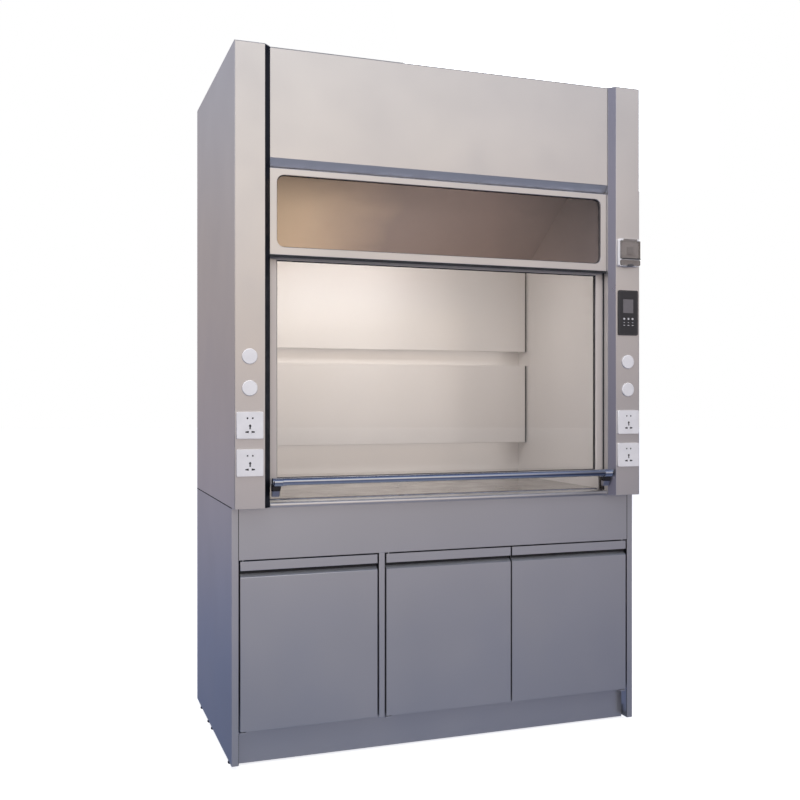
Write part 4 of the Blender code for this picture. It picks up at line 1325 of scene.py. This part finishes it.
# ---------------------------------------------------------------- cupboard
@dataclass
class Cupboard(Assembly):
    """The cupboard base: carcass, three doors, plinth and levelling feet."""

    middle_feet: Point = (0.582, 0.717)
    pad: float = 0.0105
    pad_height: float = 0.007
    stem: float = 0.0042
    thread: float = 0.004
    seam: float = 0.0022
    seam_foot: float = 0.016
    door_gap: float = 0.005
    pull: Point = (0.012, 0.0405)
    pull_face: Point = (0.0128, 0.0147)

    def build(self) -> None:
        """Builds the carcass, the doors, the feet, and the dark painted-shade lines at the carcass joints
        and in the finger pulls.
        """
        # The cupboard's coat is the case coat made darker and bluer as painted shade.
        self.dress(SHADED_BASE_COAT, [f"base_side_{hand}" for hand, _ in HANDS], 0.0012)
        inside = ("partition", "floor", "top", "back", "apron", "plinth")
        self.dress(SHADED_BASE_COAT, [f"base_{name}" for name in inside], 0.0010)
        self.dress(SHADED_BASE_COAT, [f"door_{name}" for name in THREE], 0.0015)
        feet = [f"foot_{row}_{hand}" for row in ("front", "rear") for hand, _ in HANDS]
        self.dress(RUBBER_AND_SHADE, feet, 0.0006)
        self.extra_feet()
        self.seam_shade_lines()
        self.pull_recess_shades()

    def seam_shade_lines(self) -> None:
        """Builds a dark line between each side and the apron and plinth: painted shade in the joint."""
        # Painted shade: a dark line where the joint's shadow falls.
        form = Form()
        for node in ("base_apron", "base_plinth"):
            low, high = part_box(node)
            for _, side in HANDS:
                form.block(
                    (side * (high.x - self.seam / 2), low.y - 0.0003, max(low.z, self.seam_foot)),
                    (side * (high.x + self.seam / 2), low.y + SUNK, high.z - 0.0003),
                )
        self.add(form, "carcass_seam_shade", RUBBER_AND_SHADE, "rubber")

    def pull_recess_shades(self) -> None:
        """Builds a black strip in the finger pull of each door: painted shade on the recess's back wall.
        """
        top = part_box("base_apron")[0].z - self.door_gap
        face, back = self.pull_face
        for name in THREE:
            low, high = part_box(f"door_{name}")
            # Painted shade: a black strip on the back wall of the door's finger-pull recess.
            form = Form()
            form.block(
                (low.x + 0.0006, low.y + face, top - self.pull[1]),
                (high.x - 0.0006, low.y + back, top - self.pull[0]),
            )
            self.add(form, f"pull_recess_shade_{name}", RUBBER_AND_SHADE, "rubber", f"door_{name}")

    def extra_feet(self) -> None:
        """Builds the two middle feet under each side."""
        low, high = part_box("foot_front_left")
        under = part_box("base_side_left")[0].z + self.thread
        front = low.y + self.pad
        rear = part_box("foot_rear_left")[1].y - self.pad
        profile = (
            (0.0, 0.0),
            (self.pad * 0.92, 0.0),
            (self.pad, 0.001),
            (self.pad, self.pad_height - 0.001),
            (self.pad * 0.8, self.pad_height),
            (self.stem, self.pad_height + SUNK),
            (self.stem, under),
            (0.0, under),
        )
        form = Form()
        for _, side in HANDS:
            x = side * abs((low.x + high.x) / 2)
            for share in self.middle_feet:
                form.turned(profile, (x, front + (rear - front) * share, 0.0), Axis.Z, 24)
        form.ease(0.0004, 1)
        self.add(form, "middle_feet", RUBBER_AND_SHADE, "rubber")


# ---------------------------------------------------------------- services
@dataclass
class Services(Assembly):
    """Sockets, blank caps, control panel and splash-proof switch cover on the posts."""

    hole_shade: Triple = (0.018, 0.027, 0.028)
    rim: Triple = (0.0035, 0.0035, 0.0009)
    screen: Triple = (0.0215, 0.0255, 0.0245)
    bars: tuple[Point, ...] = ((0.0135, 0.0022), (0.0235, 0.0034))
    bar_half: float = 0.0011
    rocker: Triple = (0.013, 0.017, 0.045)
    catch: Point = (0.011, 0.007)
    # How far the painted-shade strip under the lid reaches below and above its edge.
    lid_shade: Point = (0.0028, 0.0022)
    skirt_gap: float = 0.0034

    def build(self) -> None:
        """Builds the sockets and caps, the control panel and the splash cover."""
        levels = ("upper", "lower")
        for hand, _ in HANDS:
            self.dress(WHITE, [f"socket_{hand}_{level}" for level in levels], 0.0010)
            self.dress(WHITE, [f"blank_cap_{hand}_{level}" for level in levels], 0.0006)
            for level in levels:
                self.hole_shades(f"socket_{hand}_{level}")
        self.dress(BLACK, ["control_panel"], 0.0012)
        self.dress(KEY, [f"key_{name}" for name in THREE], 0.0005)
        self.dress(WHITE, ["splash_box"], 0.0015)
        self.dress(SMOKE_PANE, ["splash_lid"], 0.0010)
        self.panel_rim()
        self.panel_screen()
        self.panel_bars()
        self.splash_details()
        self.splash_lid_shade()

    def hole_shades(self, socket: str) -> None:
        """Builds a black plate behind a socket's holes: painted shade inside the holes.

        Args:
            socket: The socket's node.
        """
        low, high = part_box(socket)
        x, z = (low.x + high.x) / 2, (low.z + high.z) / 2
        half, below, above = self.hole_shade
        # Painted shade: black behind the holes, where the holes fall dark.
        form = Form()
        form.block(
            (x - half, low.y + 0.0012, z - below),
            (x + half, low.y + 0.0032, z + above),
        )
        form.ease(0.0004, 1)
        self.add(form, f"{socket}_shutters", BLACK, "black_plastic")

    def panel_rim(self) -> None:
        """Builds the fine raised line round the control panel's face."""
        low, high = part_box("control_panel")
        inset, corner, width = self.rim
        form = Form()
        form.panel(
            (low.x + inset, low.y - 0.0003, low.z + inset),
            (high.x - inset, low.y + 0.0003, high.z - inset),
            corner,
            rim=width,
        )
        self.add(form, "panel_rim_line", GREY, "black_plastic")

    def panel_screen(self) -> None:
        """Builds the control panel's screen, sunk in its window."""
        low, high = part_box("control_panel")
        x, z = (low.x + high.x) / 2, (low.z + high.z) / 2
        half, tall, above = self.screen
        form = Form()
        form.panel(
            (x - half, low.y + 0.0008, z + above - tall),
            (x + half, low.y + 0.0014, z + above + tall),
            0.001,
        )
        self.add(form, "panel_screen", SCREEN, "black_plastic")

    def panel_bars(self) -> None:
        """Builds the two indicator bars under each key."""
        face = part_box("control_panel")[0].y
        form = Form()
        for name in THREE:
            low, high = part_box(f"key_{name}")
            x, z = (low.x + high.x) / 2, (low.z + high.z) / 2
            for drop, half in self.bars:
                form.panel(
                    (x - half, face - 0.0003, z - drop - self.bar_half),
                    (x + half, face + SUNK, z - drop + self.bar_half),
                    0.0006,
                    corner=2,
                )
        self.add(form, "panel_indicator_bars", KEY, "key_plastic")

    def splash_details(self) -> None:
        """Builds the rocker under the lid, the clear skirt below it and its catch."""
        box_low, box_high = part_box("splash_box")
        lid_low, lid_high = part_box("splash_lid")
        x = (box_low.x + box_high.x) / 2
        face = lid_high.y
        half, bottom, top = self.rocker
        rocker = Form()
        rocker.block(
            (x - half, face - 0.0052, lid_low.z + bottom),
            (x + half, face + 0.0008, lid_low.z + top),
        )
        rocker.ease(0.0014, 2)
        self.add(rocker, "splash_rocker", KEY, "black_plastic")
        skirt = Form()
        skirt.panel(
            (lid_low.x - 0.0005, lid_low.y + 0.001, box_low.z + 0.001),
            (lid_high.x + 0.0005, face + 0.0003, lid_low.z - self.skirt_gap),
            0.006,
        )
        skirt.ease(0.0012, 2)
        self.add(skirt, "splash_skirt", SMOKE_PANE, "smoke")
        half, tall = self.catch
        catch = Form()
        catch.block(
            (x - half, lid_low.y - 0.0020, box_low.z - 0.001),
            (x + half, face + 0.002, box_low.z + tall),
        )
        catch.ease(0.0015, 2)
        self.add(catch, "splash_catch", GREY, "black_plastic")

    def splash_lid_shade(self) -> None:
        """Builds a dark strip along the lid's lower edge: painted shade in the shadow line under the lid.
        """
        low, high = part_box("splash_lid")
        below, above = self.lid_shade
        # Painted shade: the dark line under the splash lid.
        form = Form()
        form.block(
            (low.x - 0.0004, low.y - 0.0008, low.z - below),
            (high.x + 0.0004, low.y + 0.0012, low.z + above),
        )
        form.ease(0.0005, 1)
        self.add(form, "splash_lid_shade_line", BLACK, "black_plastic", "splash_lid")


# ---------------------------------------------------------------- studio
@dataclass
class Softbox:
    """One soft area light. A hidden one is left out of views, reflections and what panes show."""

    name: str
    place: Triple
    aim: Triple
    size: Point
    power: float
    colour: Colour = (1.0, 1.0, 1.0)
    hidden: bool = False

    def build(self) -> None:
        """Makes the light and turns it to its aim."""
        light = bpy.data.lights.new(self.name, "AREA")
        light.shape = "RECTANGLE"
        light.size, light.size_y = self.size
        light.energy = self.power
        light.color = self.colour
        obj = bpy.data.objects.new(self.name, light)
        obj.location = self.place
        obj.rotation_euler = (Vector(self.aim) - Vector(self.place)).to_track_quat("-Z", "Y").to_euler()
        obj.visible_camera = obj.visible_glossy = obj.visible_transmission = not self.hidden
        bpy.context.scene.collection.objects.link(obj)


@dataclass
class Studio:
    """The pale floor, the soft surroundings, the lights and the camera."""

    eye: Triple = (-1.309, -3.5345, 1.201)
    heading: float = -19.67
    lens: float = 44.32
    pale: Colour = (0.80, 0.79, 0.77)
    backdrop: Colour = (1.0, 1.0, 1.0)
    brightness: float = 1.265
    cool: Colour = (0.48, 0.50, 0.60)
    dark: Colour = (0.05, 0.06, 0.09)
    dusk: Colour = (0.74, 0.79, 0.88)
    behind: tuple[Colour, Colour] = ((1.50, 1.50, 1.46), (0.80, 0.80, 0.80))
    ahead: tuple[float, float] = (-0.99, -0.68)
    aside: tuple[float, float] = (0.55, 0.92)
    sky: tuple[tuple[float, Colour], ...] = (
        (-1.00, (0.50, 0.52, 0.56)),
        (-0.70, (0.40, 0.42, 0.46)),
        (-0.50, (0.115, 0.135, 0.20)),
        (-0.29, (0.124, 0.153, 0.234)),
        (-0.20, (0.218, 0.237, 0.323)),
        (-0.13, (0.39, 0.355, 0.385)),
        (-0.08, (0.48, 0.42, 0.42)),
        (0.00, (0.62, 0.52, 0.47)),
        (0.15, (0.96, 0.805, 0.655)),
        (0.31, (1.0, 0.965, 0.92)),
        (0.55, (0.90, 0.91, 0.93)),
        (0.80, (0.28, 0.33, 0.45)),
        (1.00, (0.20, 0.25, 0.37)),
    )

    def build(self) -> None:
        """Builds the whole studio."""
        self.floor()
        self.surroundings()
        self.lights()
        self.camera()
        bpy.context.scene.view_settings.view_transform = "Standard"

    def floor(self) -> None:
        """Builds the pale floor, which takes the object's soft shadow."""
        bm = bmesh.new()
        bmesh.ops.create_circle(bm, cap_ends=True, radius=40.0, segments=96)
        mesh = bpy.data.meshes.new("studio_floor")
        bm.to_mesh(mesh)
        bm.free()
        graph = Graph("floor_paint")
        cloud = graph.span(graph.noise(0.7, 3), 0, 1)
        graph.feed(graph.mix(cloud, shade(self.pale, 0.985), self.pale), "Base Color")
        graph.set(Roughness=0.9, Emission_Color=(1.0, 1.0, 1.0, 1.0), Emission_Strength=0.75)
        mesh.materials.append(graph.material)
        floor = bpy.data.objects.new("studio_floor", mesh)
        floor.visible_glossy = False
        floor.visible_diffuse = False
        bpy.context.scene.collection.objects.link(floor)

    def surroundings(self) -> None:
        """Builds the soft surroundings: a bright warm part ahead, and cool dim parts low and aside."""
        world = bpy.data.worlds.new("studio")
        world.use_nodes = True
        bpy.context.scene.world = world
        nodes, links = world.node_tree.nodes, world.node_tree.links
        split = nodes.new("ShaderNodeSeparateXYZ")
        links.new(nodes.new("ShaderNodeTexCoord").outputs["Generated"], split.inputs["Vector"])

        def spread(axis: str, start: float, end: float, smooth: bool = True) -> Socket:
            """Spreads a direction's part along an axis over 0 to 1.

            Args:
                axis: The axis, X, Y or Z.
                start: The part that gives 0.
                end: The part that gives 1.
                smooth: Whether both ends are eased.

            Returns:
                The spread value.
            """
            node = nodes.new("ShaderNodeMapRange")
            node.interpolation_type = "SMOOTHSTEP" if smooth else "LINEAR"
            node.inputs["From Min"].default_value = start
            node.inputs["From Max"].default_value = end
            links.new(split.outputs[axis], node.inputs["Value"])
            return node.outputs["Result"]

        def mixed(
            kind: str, factor: Socket | float, first: Colour | Socket, second: Colour | Socket
        ) -> Socket:
            """Puts two colours together.

            Args:
                kind: The Mix node's blend type.
                factor: How much of the second colour is put in.
                first: A colour, or a socket that gives one.
                second: A colour, or a socket that gives one.

            Returns:
                The result.
            """
            node = nodes.new("ShaderNodeMix")
            node.data_type = "RGBA"
            node.blend_type = kind
            for place, value in ((0, factor), (6, first), (7, second)):
                if isinstance(value, bpy.types.NodeSocket):
                    links.new(value, node.inputs[place])
                else:
                    node.inputs[place].default_value = value if place == 0 else (*value, 1.0)
            return node.outputs[2]

        ramp = nodes.new("ShaderNodeValToRGB")
        links.new(spread("Z", -1.0, 1.0, smooth=False), ramp.inputs["Fac"])
        for number, (height, colour) in enumerate(self.sky):
            place = (height + 1.0) / 2
            stop = ramp.color_ramp.elements[number] if number < 2 else ramp.color_ramp.elements.new(place)
            stop.position = place
            stop.color = (*colour, 1.0)
        plain = (1.0, 1.0, 1.0)
        back = mixed("MIX", spread("Z", -0.3, 0.2), *self.behind)
        back = mixed("MULTIPLY", 1.0, back, self.cool)
        around = mixed("MIX", spread("Y", *self.ahead), plain, self.cool)
        around = mixed("MIX", spread("Y", 0.1, 0.7), around, back)
        low_right = mixed("MIX", spread("X", 0.38, 0.56), plain, self.dusk)
        low_right = mixed("MIX", spread("Z", 0.0, 0.12), low_right, plain)
        around = mixed("MULTIPLY", 1.0, around, low_right)
        around = mixed("MIX", spread("X", *self.aside), around, self.dark)
        light = mixed("MULTIPLY", 1.0, ramp.outputs["Color"], around)
        shown = nodes.new("ShaderNodeLightPath").outputs["Is Camera Ray"]
        background = nodes["Background"]
        links.new(mixed("MIX", shown, light, self.backdrop), background.inputs["Color"])
        strength = nodes.new("ShaderNodeMapRange")
        strength.inputs["To Min"].default_value = self.brightness
        strength.inputs["To Max"].default_value = 1.0
        links.new(shown, strength.inputs["Value"])
        links.new(strength.outputs["Result"], background.inputs["Strength"])

    def lights(self) -> None:
        """Builds the key, the rear fill and the hidden lights in the chamber and behind its baffles."""
        _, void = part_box("baffle_lower")
        lamp_low, lamp_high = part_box("lamp")
        lamp_y = (lamp_low.y + lamp_high.y) / 2
        warm = (1.0, 0.97, 0.95)
        lights = (
            Softbox("key", (-1.2, -2.6, 5.0), (0.0, -0.3, 1.2), (3.0, 3.0), 165, warm, hidden=True),
            Softbox("rear_fill", (2.5, 3.5, 4.0), (0.0, 0.4, 1.2), (2.5, 2.5), 60, (0.92, 0.95, 1.0)),
            Softbox(
                "slot_light",
                (0.0, void.y + 0.004, 1.32),
                (0.0, 1.0, 1.32),
                (2 * (void.x - 0.06), 0.80),
                2.1,
                warm,
                hidden=True,
            ),
            Softbox(
                "chamber_light",
                (0.0, lamp_y, lamp_low.z - 0.012),
                (0.0, 0.10, 0.9),
                (0.55, 0.07),
                2.5,
                (1.0, 0.96, 0.93),
                hidden=True,
            ),
            Softbox(
                "chamber_fill",
                (-0.20, -0.262, 1.70),
                (-0.21, 0.28, 1.34),
                (0.80, 0.12),
                4.7,
                hidden=True,
            ),
        )
        for light in lights:
            light.build()

    def camera(self) -> None:
        """Builds the camera at a standing person's height, to the left of the hood."""
        data = bpy.data.cameras.new("camera")
        data.lens = self.lens
        data.sensor_width = 36.0
        camera = bpy.data.objects.new("camera", data)
        camera.location = self.eye
        camera.rotation_euler = (math.radians(90), 0.0, math.radians(self.heading))
        bpy.context.scene.collection.objects.link(camera)
        bpy.context.scene.camera = camera


def main() -> None:
    """Builds every sub-assembly in order, then the studio."""
    logging.basicConfig(level=logging.INFO, format="%(message)s")
    for assembly in (Casing(), Chamber(), ViewWindow(), Sash(), Balance(), Cupboard(), Services()):
        assembly.build()
        log.info("built the %s", type(assembly).__name__)
    Studio().build()
    log.info("%d pieces in all", len(Assembly.built))


if __name__ == "__main__":
    main()
